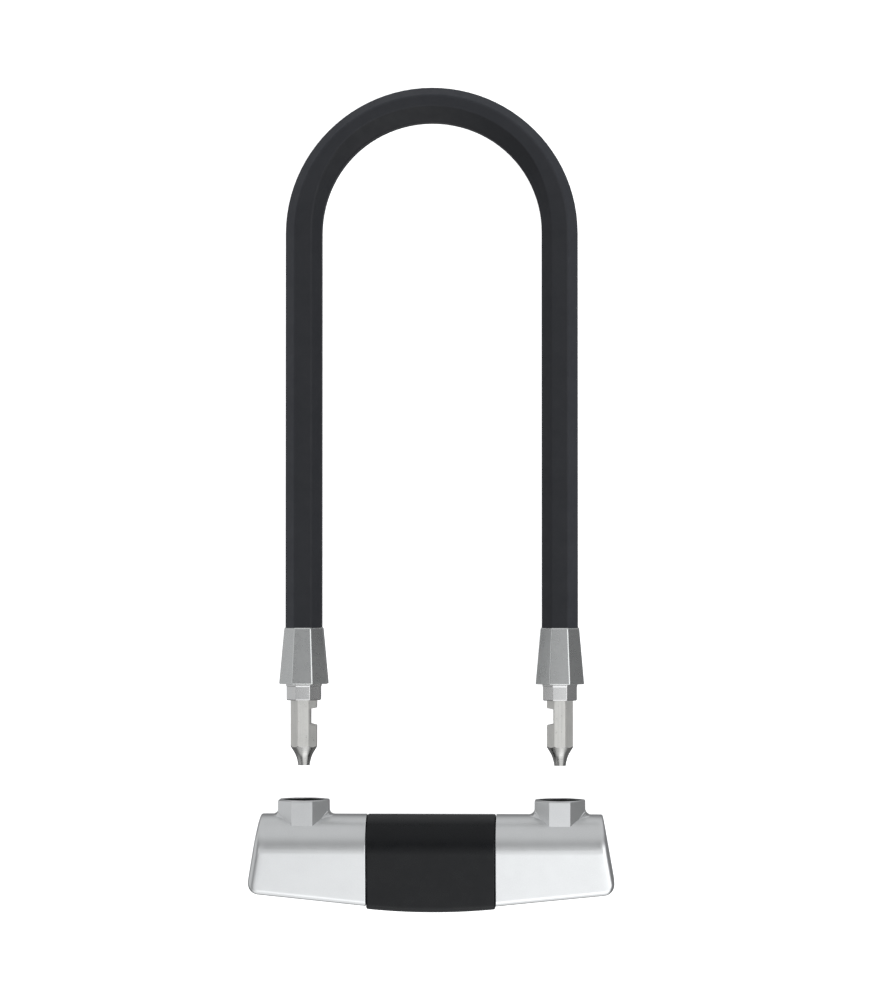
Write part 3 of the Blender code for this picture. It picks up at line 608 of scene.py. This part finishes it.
def carved(item: Object, tool: BMesh, how: Carve) -> None:
    """Cuts a second solid from a piece or joins it on, at once.

    Args:
        item: The piece.
        tool: The second solid, which is used up.
        how: Cut or join.
    """
    bmesh.ops.recalc_face_normals(tool, faces=tool.faces)
    cutter = solid(tool, f"{item.name}_tool")
    modifier = item.modifiers.new("carve", "BOOLEAN")
    modifier.operation = how.value
    modifier.solver = "EXACT"
    modifier.object = cutter
    bpy.context.view_layer.update()
    settled = bpy.data.meshes.new_from_object(item.evaluated_get(bpy.context.evaluated_depsgraph_get()))
    item.modifiers.clear()
    item.data = settled
    bpy.data.objects.remove(cutter, do_unlink=True)


def edged(item: Object, width: float, over: float = 28.0, segments: int = 2, rubbed_and_highlit: bool = False,
          where: Optional[Callable[[Vector], bool]] = None) -> None:
    """Tidies a carved piece's mesh and rounds its sharp edges.

    Args:
        item: The piece.
        width: The round's width.
        over: Edges sharper than this many degrees are rounded.
        segments: Steps of the round.
        rubbed_and_highlit: Whether the rounds take the piece's second finish, a lighter one that paints a
            highlight along the edge and also stands for polished wear.
        where: A test of an edge's middle, or None for every edge.
    """
    bm = bmesh.new()
    bm.from_mesh(item.data)
    ordered(bm)
    bmesh.ops.remove_doubles(bm, verts=bm.verts, dist=0.01 * MM)
    ordered(bm)
    bmesh.ops.dissolve_limit(bm, angle_limit=radians(0.6), verts=bm.verts, edges=bm.edges)
    ordered(bm)
    softened(bm, sharp_edges(bm, over, where), width, segments, rubbed_and_highlit)
    ordered(bm)
    bm.to_mesh(item.data)
    bm.free()


def shown(item: Object, body: str, finishes: Sequence[Finish], replaces: Sequence[str],
          smooth_under: float = 34.0) -> Object:
    """Dresses a finished piece and hangs it on its body.

    Args:
        item: The piece.
        body: The CAD body that it rides on.
        finishes: Its finishes, the main one first, which is named as its slot in the record.
        replaces: The CAD nodes that it stands for.
        smooth_under: Faces that meet at less than this many degrees shade smooth.

    Returns:
        The piece.
    """
    if item.data.materials:
        item.data.materials.clear()
    for finish in finishes:
        item.data.materials.append(finish.material())
    item.data.shade_smooth()
    item.data.set_sharp_from_angle(angle=radians(smooth_under))
    weighted = item.modifiers.new("weighted", "WEIGHTED_NORMAL")
    weighted.keep_sharp = True
    weighted.weight = 60
    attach(item, body)
    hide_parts(*replaces)
    LOG.info("%s: %d faces, rides %s, wears %s", item.name, len(item.data.polygons), body, finishes[0].name)
    return item


# ---------------------------------------------------------------- shackle


@dataclass
class Shackle:
    """The U: steel bar with its two feet, vinyl sleeve, collars and ferrules."""

    bar_flats: float = 13.0 * MM
    bar_corner: float = 0.35 * MM
    foot_reach: float = 30.2 * MM  # from the collar down to where the turned tip begins
    notch_depth: float = 3.2 * MM
    notch_floor: float = 7.4 * MM
    notch_mouth: float = 8.6 * MM
    notch_drop: float = 16.2 * MM
    sleeve_chamfer: float = 4.7 * MM
    sleeve_corner: float = 0.7 * MM
    collar_top_flats: float = 19.2 * MM
    collar_rim: float = 0.55 * MM
    ferrule_lip: float = 1.0 * MM
    ferrule_proud: float = 0.5 * MM  # how much wider its lip is than its flats
    tip_outline: tuple[tuple[float, float], ...] = (
        (7.6, 0.0), (6.5, 0.135), (5.35, 0.31), (4.4, 0.47), (3.75, 0.62), (3.3, 0.78), (3.0, 0.91),
        (2.9, 1.0), (2.9, 1.2), (12.0, 1.2), (12.0, 0.0),
    )  # what the lathe takes off: radius in mm, and share of the way down to the tip
    arc_steps: int = 48
    body: str = "shackle"

    def __post_init__(self) -> None:
        """Takes the places of the U from the CAD nodes."""
        low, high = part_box("collar_right")
        self.leg_x = (low.x + high.x) / 2
        self.axis_z = (low.z + high.z) / 2
        self.collar_low, self.collar_high = low.y, high.y
        self.collar_flats = high.x - low.x
        cover_low, cover_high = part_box("shackle_cover")
        self.sleeve_width = cover_high.z - cover_low.z
        self.arc_y = cover_high.y - self.leg_x - self.sleeve_width / 2
        ferrule_low, ferrule_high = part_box("ferrule_right")
        self.ferrule_low = ferrule_low.y
        self.ferrule_flats = ferrule_high.x - ferrule_low.x
        self.tip_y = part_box("shackle_bar")[0].y

    def leg(self, side: Side, y: float) -> Vector:
        """The point of a leg's axis at some height."""
        return Vector((side.value * self.leg_x, y, self.axis_z))

    def swept(self, bm: BMesh, start: list[BMFace], low_y: float) -> None:
        """Draws a section up the left leg, round the arc and down the right leg.

        Args:
            bm: The mesh, which holds the section at the foot of the left leg.
            start: The section's face.
            low_y: The height of both ends.
        """
        top = drawn(bm, start, Vector((0, self.arc_y - low_y, 0)))
        turned = bmesh.ops.spin(bm, geom=top, cent=(0, self.arc_y, self.axis_z), axis=(0, 0, -1), angle=pi,
                                steps=self.arc_steps, use_duplicate=False)["geom_last"]
        bmesh.ops.delete(bm, geom=top, context="FACES")
        drawn(bm, faces_of(turned), Vector((0, low_y - self.arc_y, 0)))
        bmesh.ops.recalc_face_normals(bm, faces=bm.faces)

    def tip_cutter(self, side: Side) -> BMesh:
        """What a lathe takes off the end of a foot: a hollowed cone down to a short stub.

        Args:
            side: The foot's side.

        Returns:
            The solid to cut with.
        """
        reach = self.tip_y - (self.collar_low - self.foot_reach)
        bm = bmesh.new()
        lathe(bm, [(r * MM, y * reach) for r, y in self.tip_outline],
              self.leg(side, self.collar_low - self.foot_reach))
        return bm

    def notch_cutter(self, side: Side) -> BMesh:
        """The wedge that opens a foot's notch on its inner flat.

        Args:
            side: The foot's side.

        Returns:
            The solid to cut with.
        """
        face = self.leg_x - self.bar_flats / 2
        ends = sorted((side.value * (face - self.notch_depth), side.value * (face + self.notch_depth)))
        middle = self.collar_low - self.notch_drop
        bm = bmesh.new()
        verts = block(bm, Vector((ends[0], middle - self.notch_floor / 2, -1 * MM)),
                      Vector((ends[1], middle + self.notch_floor / 2, 2 * self.axis_z)))
        outer = [v for v in verts if abs(v.co.x) < face]
        spread = (2 * self.notch_mouth - self.notch_floor) / self.notch_floor
        bmesh.ops.scale(bm, verts=outer, vec=(1, spread, 1), space=Matrix.Translation((0, -middle, 0)))
        return bm

    def bar(self) -> None:
        """The octagonal bar, its feet turned and notched, its edges rounded."""
        bm = bmesh.new()
        self.swept(bm, octagon(bm, self.bar_flats, self.leg(Side.LEFT, self.tip_y)), self.tip_y)
        item = solid(bm, "steel_bar")
        for side in Side:
            carved(item, self.tip_cutter(side), Carve.CUT)
            carved(item, self.notch_cutter(side), Carve.CUT)
        edged(item, self.bar_corner, 24.0)
        for face in item.data.polygons:
            face.material_index = int(face.center.y < self.collar_low - self.foot_reach - 0.3 * MM)
        shown(item, self.body, [BARE_STEEL, TURNED_STEEL], ["shackle_bar"])

    def flow(self, vert: BMVert) -> None:
        """Moves a sleeve corner as the bend draws it: facets crowd to the outside of the arc.

        Args:
            vert: The corner.
        """
        x, y = vert.co.x, vert.co.y - self.arc_y
        if y <= 0:
            return
        around = min(atan2(y, abs(x)) / radians(55), 1.0)
        share = around * around * (3 - 2 * around)
        radius = hypot(x, y)
        flat_side = abs(vert.co.z - self.axis_z) > self.sleeve_width / 2 - 0.5 * MM
        outer = radius > self.leg_x
        shift = {(True, True): 0.2, (True, False): 3.2, (False, True): -0.3, (False, False): 0.4}
        moved = radius + shift[(flat_side, outer)] * MM * share
        vert.co.x, vert.co.y = x * moved / radius, self.arc_y + y * moved / radius

    def sleeve(self) -> None:
        """The vinyl sleeve, from collar to collar."""
        low = self.collar_high - 0.3 * MM
        bm = bmesh.new()
        half = self.sleeve_width / 2
        corners = bmesh.ops.create_circle(bm, cap_ends=True, segments=4, radius=half * sqrt(2),
                                          matrix=across_y(self.leg(Side.LEFT, low), pi / 4))["verts"]
        bmesh.ops.bevel(bm, geom=corners, offset=self.sleeve_chamfer, offset_type="OFFSET", segments=1,
                        profile=0.5, affect="VERTICES", clamp_overlap=False, material=-1)
        self.swept(bm, list(bm.faces), low)
        for vert in bm.verts:
            self.flow(vert)
        along = sharp_edges(bm, 20.0, lambda at: at.y > low + 1 * MM)
        softened(bm, along, self.sleeve_corner, 3)
        item = solid(bm, "vinyl_sleeve")
        shown(item, self.body, [BLACK_VINYL], ["shackle_cover"])

    def frustum(self, name: str, side: Side, stations: Sequence[tuple[float, float]]) -> Object:
        """An octagonal body on a leg, through (y, size across the flats) stations.

        Args:
            name: The piece's name.
            side: Which leg.
            stations: Its sections, from one end to the other.

        Returns:
            The piece, with a bore for the bar.
        """
        bm = bmesh.new()
        (y, flats), *rest = stations
        end = octagon(bm, flats, self.leg(side, y))
        for next_y, next_flats in rest:
            share = next_flats / flats
            end = drawn(bm, end, Vector((0, next_y - y, 0)), (share, 1, share), self.leg(side, next_y))
            y, flats = next_y, next_flats
        bmesh.ops.recalc_face_normals(bm, faces=bm.faces)
        item = solid(bm, name)
        bore = bmesh.new()
        low, high = min(stations)[0] - 1 * MM, max(stations)[0] + 1 * MM
        start = octagon(bore, self.bar_flats + 0.2 * MM, self.leg(side, low))
        drawn(bore, start, Vector((0, high - low, 0)))
        carved(item, bore, Carve.CUT)
        return item

    def collar(self, side: Side) -> None:
        """The tapered collar that ends the sleeve.

        Args:
            side: The leg's side.
        """
        stations = [(self.collar_low, self.collar_flats),
                    (self.collar_high - self.collar_rim, self.collar_top_flats),
                    (self.collar_high, self.collar_top_flats - 2 * self.collar_rim)]
        item = self.frustum(f"zinc_collar_{side.label}", side, stations)
        # the rounded edges take the lighter edge finish: painted highlight, also polished wear
        edged(item, 0.5 * MM, 30.0, 3, rubbed_and_highlit=True)
        shown(item, self.body, [GREY_ZINC, GREY_EDGE_HIGHLIGHT_AND_WEAR], [f"collar_{side.label}"])

    def ferrule(self, side: Side) -> None:
        """The octagonal shoulder under a collar, with a raised lip at its top.

        Args:
            side: The leg's side.
        """
        low, top, flats = self.ferrule_low, self.collar_low, self.ferrule_flats
        wide = flats + self.ferrule_proud
        neck = top - self.ferrule_lip - self.ferrule_proud / 2
        stations = [(low, flats - 0.7 * MM), (low + 0.45 * MM, flats), (neck, flats),
                    (top - self.ferrule_lip, wide), (top, wide)]
        item = self.frustum(f"zinc_ferrule_{side.label}", side, stations)
        edged(item, 0.2 * MM, 30.0, 2)
        shown(item, self.body, [FERRULE_ZINC], [f"ferrule_{side.label}"])

    def build(self) -> None:
        """Builds the whole shackle."""
        self.bar()
        self.sleeve()
        for side in Side:
            self.collar(side)
            self.ferrule(side)


# ---------------------------------------------------------------- crossbar


@dataclass
class Shell:
    """The crossbar's section: half-round towards the shackle, flat back, tapered flat front."""

    depth: float = 35.0 * MM
    top: float = 24.0 * MM
    taper: float = 6.0  # degrees
    lower_corner: float = 3.0 * MM
    wall: float = 2.6 * MM
    round_steps: int = 56

    @property
    def middle(self) -> Vector:
        """The centre of the half-round, at x = 0."""
        return Vector((0, self.top - self.depth / 2, self.depth / 2))

    def section(self, bm: BMesh, x: float, bottom: float, inset: float = 0.0
                ) -> list[BMFace]:
        """Makes a filled section across X.

        Args:
            bm: The mesh.
            x: Where it stands.
            bottom: The height of its lower edge.
            inset: How far it is drawn in from the full section.

        Returns:
            Its one face, in a list.
        """
        radius = self.depth / 2 - inset
        centre = self.middle + Vector((x, 0, 0))
        back = bmesh.ops.create_vert(bm, co=centre - Vector((0, 0, radius)))["vert"][0]
        arc = bmesh.ops.spin(bm, geom=[back], cent=centre, axis=(1, 0, 0), angle=pi + radians(self.taper),
                             steps=self.round_steps, use_duplicate=False)["geom_last"]
        front = verts_of(arc)[0]
        fall = front.co.y - (bottom + inset)
        low_front = bmesh.ops.create_vert(
            bm, co=front.co - Vector((0, fall, fall * tan(radians(self.taper)))))["vert"][0]
        low_back = bmesh.ops.create_vert(bm, co=(x, bottom + inset, back.co.z))["vert"][0]
        for pair in ((front, low_front), (low_front, low_back), (low_back, back)):
            bm.edges.new(pair)
        bmesh.ops.bevel(bm, geom=[low_front, low_back], offset=self.lower_corner - inset / 2, segments=6,
                        profile=0.5, affect="VERTICES", offset_type="OFFSET", clamp_overlap=True, material=-1)
        edges = [e for e in bm.edges if not e.link_faces]
        return faces_of(bmesh.ops.contextual_create(bm, geom=edges)["faces"])


@dataclass
class EndCasing:
    """One satin casing: a hollow end of the crossbar with the turret that a foot goes into."""

    side: Side
    shell: Shell
    end_lean: float = 10.0  # degrees
    end_corner: float = 6.0 * MM
    end_fillet: float = 3.0 * MM
    top_fillet: float = 0.8 * MM
    seam_bottom: float = -21.0 * MM
    end_bottom: float = -14.8 * MM
    end_margin: float = 21.2 * MM
    turret_flats: float = 25.2 * MM
    turret_edge_length: float = 12.4 * MM  # its upright edges, down to where the fillets reach them
    turret_fillet: float = 3.0 * MM
    turret_rim: float = 0.9 * MM
    turret_edge: float = 0.5 * MM
    seam_edge: float = 0.3 * MM
    band_half: float = 32.0 * MM
    end_steps: int = 9
    web_stations: tuple[tuple[float, float], ...] = (
        (-29.0, 0.05), (-25.0, 0.24), (-21.0, 0.52), (-17.3, 0.8), (-12.0, 1.0), (-6.0, 1.0), (0.0, 1.0),
        (6.0, 1.0), (12.0, 1.0), (17.3, 0.8), (21.0, 0.52), (25.0, 0.24), (29.0, 0.05),
    )  # degrees round the bar, and the fillet's share of its full size
    body: str = "crossbar"

    def __post_init__(self) -> None:
        """Takes the casing's places from its CAD node."""
        low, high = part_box(f"end_casing_{self.side.label}")
        sign = self.side.value
        seal_low, seal_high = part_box(f"socket_seal_{self.side.label}")
        self.leg = sign * (seal_low.x + seal_high.x) / 2
        self.mouth = (seal_high.x - seal_low.x) / 2 + 0.15 * MM
        self.seam = (low.x if sign > 0 else -high.x)
        self.turret_top = high.y
        self.end_top = self.leg + self.end_margin

    def bottom(self, x: float) -> float:
        """The height of the lower edge at x, which counts outwards."""
        share = (x - self.band_half) / (self.end_top - self.band_half)
        return self.seam_bottom + (self.end_bottom - self.seam_bottom) * share

    def lean(self, bm: BMesh, verts: list[BMVert]) -> None:
        """Leans the end out towards its bottom.

        Args:
            bm: The mesh.
            verts: The end's vertices.
        """
        slope = tan(radians(self.end_lean))
        shear = Matrix.Identity(4)
        shear[0][1] = -slope
        shear[0][3] = slope * self.shell.top
        bmesh.ops.transform(bm, matrix=shear, verts=verts)

    def hull(self, inset: float) -> BMesh:
        """The casing's body on the right-hand side, or the hollow inside it.

        Args:
            inset: How far it is drawn in; above 0 it is the hollow, and has square ends.

        Returns:
            The closed body.
        """
        bm = bmesh.new()
        start_x = self.seam - (3 * MM if inset else 0.0)
        low = self.bottom(start_x)
        end = self.shell.section(bm, start_x, low, inset)
        reach = self.end_top - inset - (0.0 if inset else self.end_corner)
        corner_low = low + inset
        pivot = self.shell.middle
        end = drawn(bm, end, Vector((reach - start_x, 0, 0)))
        verts = list({v for f in end for v in f.verts})
        rise = self.bottom(reach) - low
        for vert in verts:
            below = (pivot.y - vert.co.y) / (pivot.y - corner_low)
            if below > 0.5:
                vert.co.y += rise
        leaned = verts
        if not inset:
            height, width, x = self.shell.top - self.bottom(reach), self.shell.depth / 2, reach
            peak = self.shell.top
            for k in range(1, self.end_steps + 1):
                left = self.end_corner * (1 - sin(pi / 2 * k / self.end_steps))
                top = self.shell.top - self.round_in(self.top_fillet, left)
                bottom = self.bottom(self.end_top - left) + self.round_in(self.end_corner, left)
                half = self.shell.depth / 2 - self.round_in(self.end_fillet, left)
                step = Vector((self.end_top - left - x, top - peak, 0))
                about = Vector((0, top, pivot.z))
                end = drawn(bm, end, step, (1, (top - bottom) / height, half / width), about)
                height, width, x, peak = top - bottom, half, self.end_top - left, top
                leaned = leaned + list({v for f in end for v in f.verts})
        self.lean(bm, leaned)
        bmesh.ops.recalc_face_normals(bm, faces=bm.faces)
        return bm

    @staticmethod
    def round_in(radius: float, left: float) -> float:
        """How far a round edge has drawn in, this far from the face that it ends in."""
        return 0.0 if left >= radius else radius - sqrt(radius**2 - (radius - left) ** 2)

    def turret(self) -> BMesh:
        """The octagonal turret.

        Returns:
            Its solid.
        """
        bm = bmesh.new()
        foot = self.shell.middle.y
        start = octagon(bm, self.turret_flats, Vector((self.leg, foot, self.shell.middle.z)))
        top = drawn(bm, start, Vector((0, self.turret_top - foot, 0)))
        bmesh.ops.recalc_face_normals(bm, faces=bm.faces)
        softened(bm, list(top[0].edges), self.turret_rim, 4)
        return bm

    def web_profile(self, bm: BMesh) -> list[BMFace]:
        """A hollow fillet's section, its root at the origin, running out to +X and up to +Y.

        Args:
            bm: The mesh.

        Returns:
            Its one face, in a list.
        """
        reach, sunk = self.turret_fillet, 2 * MM
        first = bmesh.ops.create_vert(bm, co=(reach, 0, 0))["vert"][0]
        arc = bmesh.ops.spin(bm, geom=[first], cent=(reach, reach, 0), axis=(0, 0, 1), angle=-pi / 2,
                             steps=10, use_duplicate=False)["geom_last"]
        last = verts_of(arc)[0]
        inside = [bmesh.ops.create_vert(bm, co=(x, y, 0))["vert"][0]
                  for x, y in ((-sunk, reach), (-sunk, -sunk), (reach, -sunk))]
        loop = [last, *inside, first]
        for pair in zip(loop, loop[1:]):
            bm.edges.new(pair)
        return faces_of(bmesh.ops.contextual_create(bm, geom=list(bm.edges))["faces"])

    def web(self, outward: int) -> BMesh:
        """The hollow fillet round one flank of the turret's foot, dying out towards its front and back.

        Args:
            outward: 1 for the flank away from the middle of the lock, -1 for the other.

        Returns:
            The closed body.
        """
        bm = bmesh.new()
        end = self.web_profile(bm)
        radius = self.shell.depth / 2
        half = self.turret_flats / 2 * tan(pi / 8)
        last = Matrix.Identity(4)
        for angle, size in self.web_stations:
            across = max(0.0, radius * sin(radians(abs(angle))) - half)
            placed = (
                Matrix.Translation(self.shell.middle + Vector((self.leg, 0, 0)))
                @ Matrix.Rotation(radians(angle), 4, "X")
                @ Matrix.Translation((outward * (self.turret_flats / 2 - across), radius, 0))
                @ Matrix.Diagonal((outward * size, size, 1, 1))
            )
            if angle > self.web_stations[0][0]:
                end = drawn(bm, end, Vector((0, 0, 0)))
            corners = list({v for f in end for v in f.verts})
            bmesh.ops.transform(bm, matrix=placed @ last.inverted(), verts=corners)
            last = placed
        bmesh.ops.recalc_face_normals(bm, faces=bm.faces)
        return bm

    def mirrored(self, bm: BMesh) -> BMesh:
        """The same solid, turned over to the left-hand side where this casing is there.

        Args:
            bm: The solid.

        Returns:
            The same mesh.
        """
        if self.side is Side.LEFT:
            bmesh.ops.scale(bm, verts=bm.verts, vec=(-1, 1, 1))
        bmesh.ops.recalc_face_normals(bm, faces=bm.faces)
        return bm

    def on_turret(self, at: Vector) -> bool:
        """Whether a point is on one of the turret's upright edges or its rim, clear of the fillets."""
        flank = self.turret_flats / 2 - 0.3 * MM
        return at.y > self.turret_top - self.turret_edge_length and abs(abs(at.x) - self.leg) < flank

    def pin_hole(self) -> BMesh:
        """What is bored out of the back for the casing pin.

        Returns:
            The solid to cut with.
        """
        low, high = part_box(f"casing_pin_{self.side.label}")
        radius = (high.x - low.x) / 2 + 0.1 * MM
        bm = bmesh.new()
        bmesh.ops.create_cone(bm, cap_ends=True, segments=32, radius1=radius, radius2=radius, depth=8 * MM,
                              matrix=Matrix.Translation(((low.x + high.x) / 2, (low.y + high.y) / 2, 0)))
        return bm

    def build(self) -> None:
        """Builds the casing."""
        item = solid(self.mirrored(self.hull(0.0)), f"satin_casing_{self.side.label}")
        carved(item, self.mirrored(self.turret()), Carve.JOIN)
        for outward in (-1, 1):
            carved(item, self.mirrored(self.web(outward)), Carve.JOIN)
        carved(item, self.mirrored(self.hull(self.shell.wall)), Carve.CUT)
        mouth = bmesh.new()
        start = disc(mouth, self.mouth, Vector((self.leg, self.shell.middle.y, self.shell.middle.z)))
        drawn(mouth, start, Vector((0, self.shell.depth, 0)))
        carved(item, self.mirrored(mouth), Carve.CUT)
        carved(item, self.pin_hole(), Carve.CUT)
        # the turret's and seam's rounded edges take the lighter edge finish: painted highlight, also polished
        # wear
        edged(item, self.turret_edge, 27.0, 3, rubbed_and_highlit=True, where=self.on_turret)
        edged(item, self.seam_edge, 60.0, 2, rubbed_and_highlit=True, where=lambda at: abs(at.x) < self.seam + 0.1 * MM)
        shown(item, self.body, [SATIN_ZINC, SATIN_EDGE_HIGHLIGHT_AND_WEAR], [f"end_casing_{self.side.label}"], 30.0)


@dataclass
class CentreBand:
    """The black band round the middle, bowed along its lower edge."""

    shell: Shell
    bow: float = 1.6 * MM
    edge: float = 0.8 * MM
    stations: int = 16
    body: str = "crossbar"

    def hull(self, inset: float) -> BMesh:
        """The band's body, or the space inside it.

        Args:
            inset: How far it stays inside the outside; above 0 for the space.

        Returns:
            Its solid.
        """
        low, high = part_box("centre_band")
        half = high.x
        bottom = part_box("keyway_bezel")[1].y - inset if inset else low.y
        spare = 2 * MM if inset else 0.0
        bm = bmesh.new()
        end = self.shell.section(bm, -half - spare, bottom, inset)
        step = 2 * (half + spare) / self.stations
        for _ in range(self.stations):
            end = drawn(bm, end, Vector((step, 0, 0)))
        if not inset:
            for vert in bm.verts:
                if vert.co.y < low.y + self.shell.lower_corner + 0.01 * MM:
                    vert.co.y += self.bow * (vert.co.x / half) ** 2
        bmesh.ops.recalc_face_normals(bm, faces=bm.faces)
        if not inset:
            ends = [e for e in sharp_edges(bm, 60.0) if abs(abs(e.verts[0].co.x) - half) < 0.01 * MM]
            softened(bm, ends, self.edge, 4)
        return bm

    def build(self) -> None:
        """Builds the band."""
        item = solid(self.hull(0.0), "satin_band")
        carved(item, self.hull(self.shell.wall), Carve.CUT)
        low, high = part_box("keyway_bezel")
        window = bmesh.new()
        spare = Vector((0.15 * MM, 4 * MM, 0.15 * MM))
        block(window, low - spare, high + spare)
        carved(item, window, Carve.CUT)
        edged(item, 0.2 * MM, 40.0, 2, where=lambda at: at.y < low.y and low.x - MM < at.x < high.x + MM)
        shown(item, self.body, [BLACK_SATIN], ["centre_band"], 30.0)


@dataclass
class SmallPart:
    """A CAD part whose edges are rounded and which gets its finish."""

    node: str
    name: str
    body: str
    finish: Finish
    round: float
    over: float = 30.0

    def build(self) -> None:
        """Copies the node's mesh, merges it, rounds its edges and stands for it."""
        mesh = frame["nodes"][self.node].data.copy()
        item = bpy.data.objects.new(self.name, mesh)
        bpy.context.scene.collection.objects.link(item)
        edged(item, self.round, self.over)
        shown(item, self.body, [self.finish], [self.node])


@dataclass
class Crossbar:
    """The crossbar's casings, band, mouths, keyway and back pins, and the works inside."""

    body: str = "crossbar"

    def small_parts(self) -> list[SmallPart]:
        """The parts that are seen in the mouths, in the keyway and on the back.

        Returns:
            The parts.
        """
        parts = [
            SmallPart("keyway_bezel", "moulded_bezel", self.body, BLACK_PLASTIC, 0.25 * MM),
            SmallPart("keyway_cover", "moulded_cover", "keyhole_slider", BLACK_PLASTIC, 0.2 * MM),
            SmallPart("cylinder_plug", "turned_plug", "plug", BRASS, 0.15 * MM, 50.0),
        ]
        pairs = (
            ("socket_seal", "rubber_seal", BLACK_RUBBER, 0.3 * MM),
            ("foot_socket", "steel_socket", HARDENED_STEEL, 0.2 * MM),
            ("casing_pin", "steel_pin", BARE_STEEL, 0.35 * MM),
        )
        for side in Side:
            for node, name, finish, width in pairs:
                cad_node, piece = f"{node}_{side.label}", f"{name}_{side.label}"
                parts.append(SmallPart(cad_node, piece, self.body, finish, width, 50.0))
        return parts

    def works(self) -> None:
        """Gives every CAD node that still shows its own finish."""
        finishes = {finish.name: finish for finish in (BARE_STEEL, HARDENED_STEEL, BRASS)}
        slots = {row["node"]: row["material_slot"] for row in frame["record"]["subparts"]}
        for name, node in frame["nodes"].items():
            if node.hide_render:
                continue
            finish = finishes[slots[name]]
            for slot in node.material_slots:
                slot.material = finish.material()
            LOG.info("%s keeps its CAD shape, wears %s", name, finish.name)

    def build(self) -> None:
        """Builds the whole crossbar."""
        shell = Shell()
        for side in Side:
            EndCasing(side, shell).build()
        CentreBand(shell).build()
        for part in self.small_parts():
            part.build()
        self.works()


# ---------------------------------------------------------------- studio


@dataclass(frozen=True)
class Softbox:
    """A soft patch of light in the studio's surroundings."""

    azimuth: float  # degrees from +Y, clockwise from above
    elevation: float  # degrees above the floor
    full: float  # degrees from its middle to where it begins to fade
    none: float  # degrees from its middle to where it ends
    strength: float

    @property
    def direction(self) -> Vector:
        """Where it hangs, as seen from the lock."""
        turn, rise = radians(self.azimuth), radians(self.elevation)
        return Vector((sin(turn) * cos(rise), cos(turn) * cos(rise), sin(rise)))


@dataclass
class Studio:
    """A pale floor, soft lights all round and the camera."""

    frame_height: float = 0.5  # what the camera takes in at the lock, in metres
    distance: float = 1.8
    aim: tuple[float, float, float] = (0.0051, 0.18075, 0.0175)
    eye: tuple[float, float] = (0.083, 0.151)
    sensor: float = 36.0
    floor_half: float = 12.0
    floor_glow: float = 0.80
    ambient: float = 0.24
    softboxes: tuple[Softbox, ...] = (
        Softbox(150.0, 50.0, 25.0, 42.0, 1.06),
        Softbox(180.0, 8.0, 28.0, 46.0, 0.80),
        Softbox(0.0, 8.0, 32.0, 68.0, 0.46),
        Softbox(-90.0, 10.0, 18.0, 48.0, 0.46),
        Softbox(75.0, 64.0, 8.0, 22.0, 0.8),
        Softbox(90.0, 40.0, 10.0, 24.0, 1.1),
        Softbox(90.0, 80.0, 8.0, 16.0, 0.48),
        Softbox(0.0, 90.0, 10.0, 50.0, 0.08),
    )

    def floor(self) -> None:
        """A wide pale floor under the lock."""
        bm = bmesh.new()
        bmesh.ops.create_grid(bm, x_segments=1, y_segments=1, size=self.floor_half)
        bmesh.ops.translate(bm, verts=bm.verts, vec=(0, 0, -0.02 * MM))
        item = solid(bm, "floor")
        board = Board(bpy.data.materials.new("pale_floor"))
        pale = board.mix(board.noise(3.0, 2.0), (0.90, 0.90, 0.90), (0.93, 0.93, 0.93))
        finish = board.dress(Base_Color=pale, Roughness=0.9, Specular_IOR_Level=0.0,
                             Emission_Color=(1, 1, 1, 1), Emission_Strength=self.floor_glow)
        item.data.materials.append(finish)
        item.visible_glossy = False

    def sky(self) -> None:
        """Even light from everywhere, with the softboxes as patches in it."""
        board = Board(bpy.data.worlds.new("studio"), "Background")
        strength = self.ambient
        for box in self.softboxes:
            near = board.add("ShaderNodeVectorMath", operation="DOT_PRODUCT",
                             Vector=board.coordinates["Generated"])
            near.inputs[1].default_value = box.direction
            patch = board.spread(near.outputs["Value"], cos(radians(box.none)), cos(radians(box.full)),
                                 0.0, box.strength)
            strength = board.math("ADD", strength, patch)
        bpy.context.scene.world = board.dress(Color=(0.97, 0.985, 1.0, 1), Strength=strength)

    def camera(self) -> None:
        """The camera above the lock, a little to its right."""
        data = bpy.data.cameras.new("camera")
        item = bpy.data.objects.new("camera", data)
        bpy.context.scene.collection.objects.link(item)
        target = Vector(self.aim)
        item.location = Vector((*self.eye, target.z + self.distance))
        away = item.location - target
        data.sensor_width = self.sensor
        data.lens = self.sensor * away.length / self.frame_height
        data.clip_start, data.clip_end = 0.01, 20.0
        back = away.normalized()
        right = Vector((0, 1, 0)).cross(back).normalized()
        item.rotation_mode = "QUATERNION"
        item.rotation_quaternion = Matrix((right, back.cross(right), back)).transposed().to_quaternion()
        bpy.context.scene.camera = item

    def build(self) -> None:
        """Builds the studio."""
        bpy.context.scene.view_settings.view_transform = "Standard"
        self.floor()
        self.sky()
        self.camera()


def main() -> None:
    """Builds the lock and its studio."""
    logging.basicConfig(level=logging.INFO, format="%(name)s: %(message)s")
    Shackle().build()
    Crossbar().build()
    Studio().build()


if __name__ == "__main__":
    main()
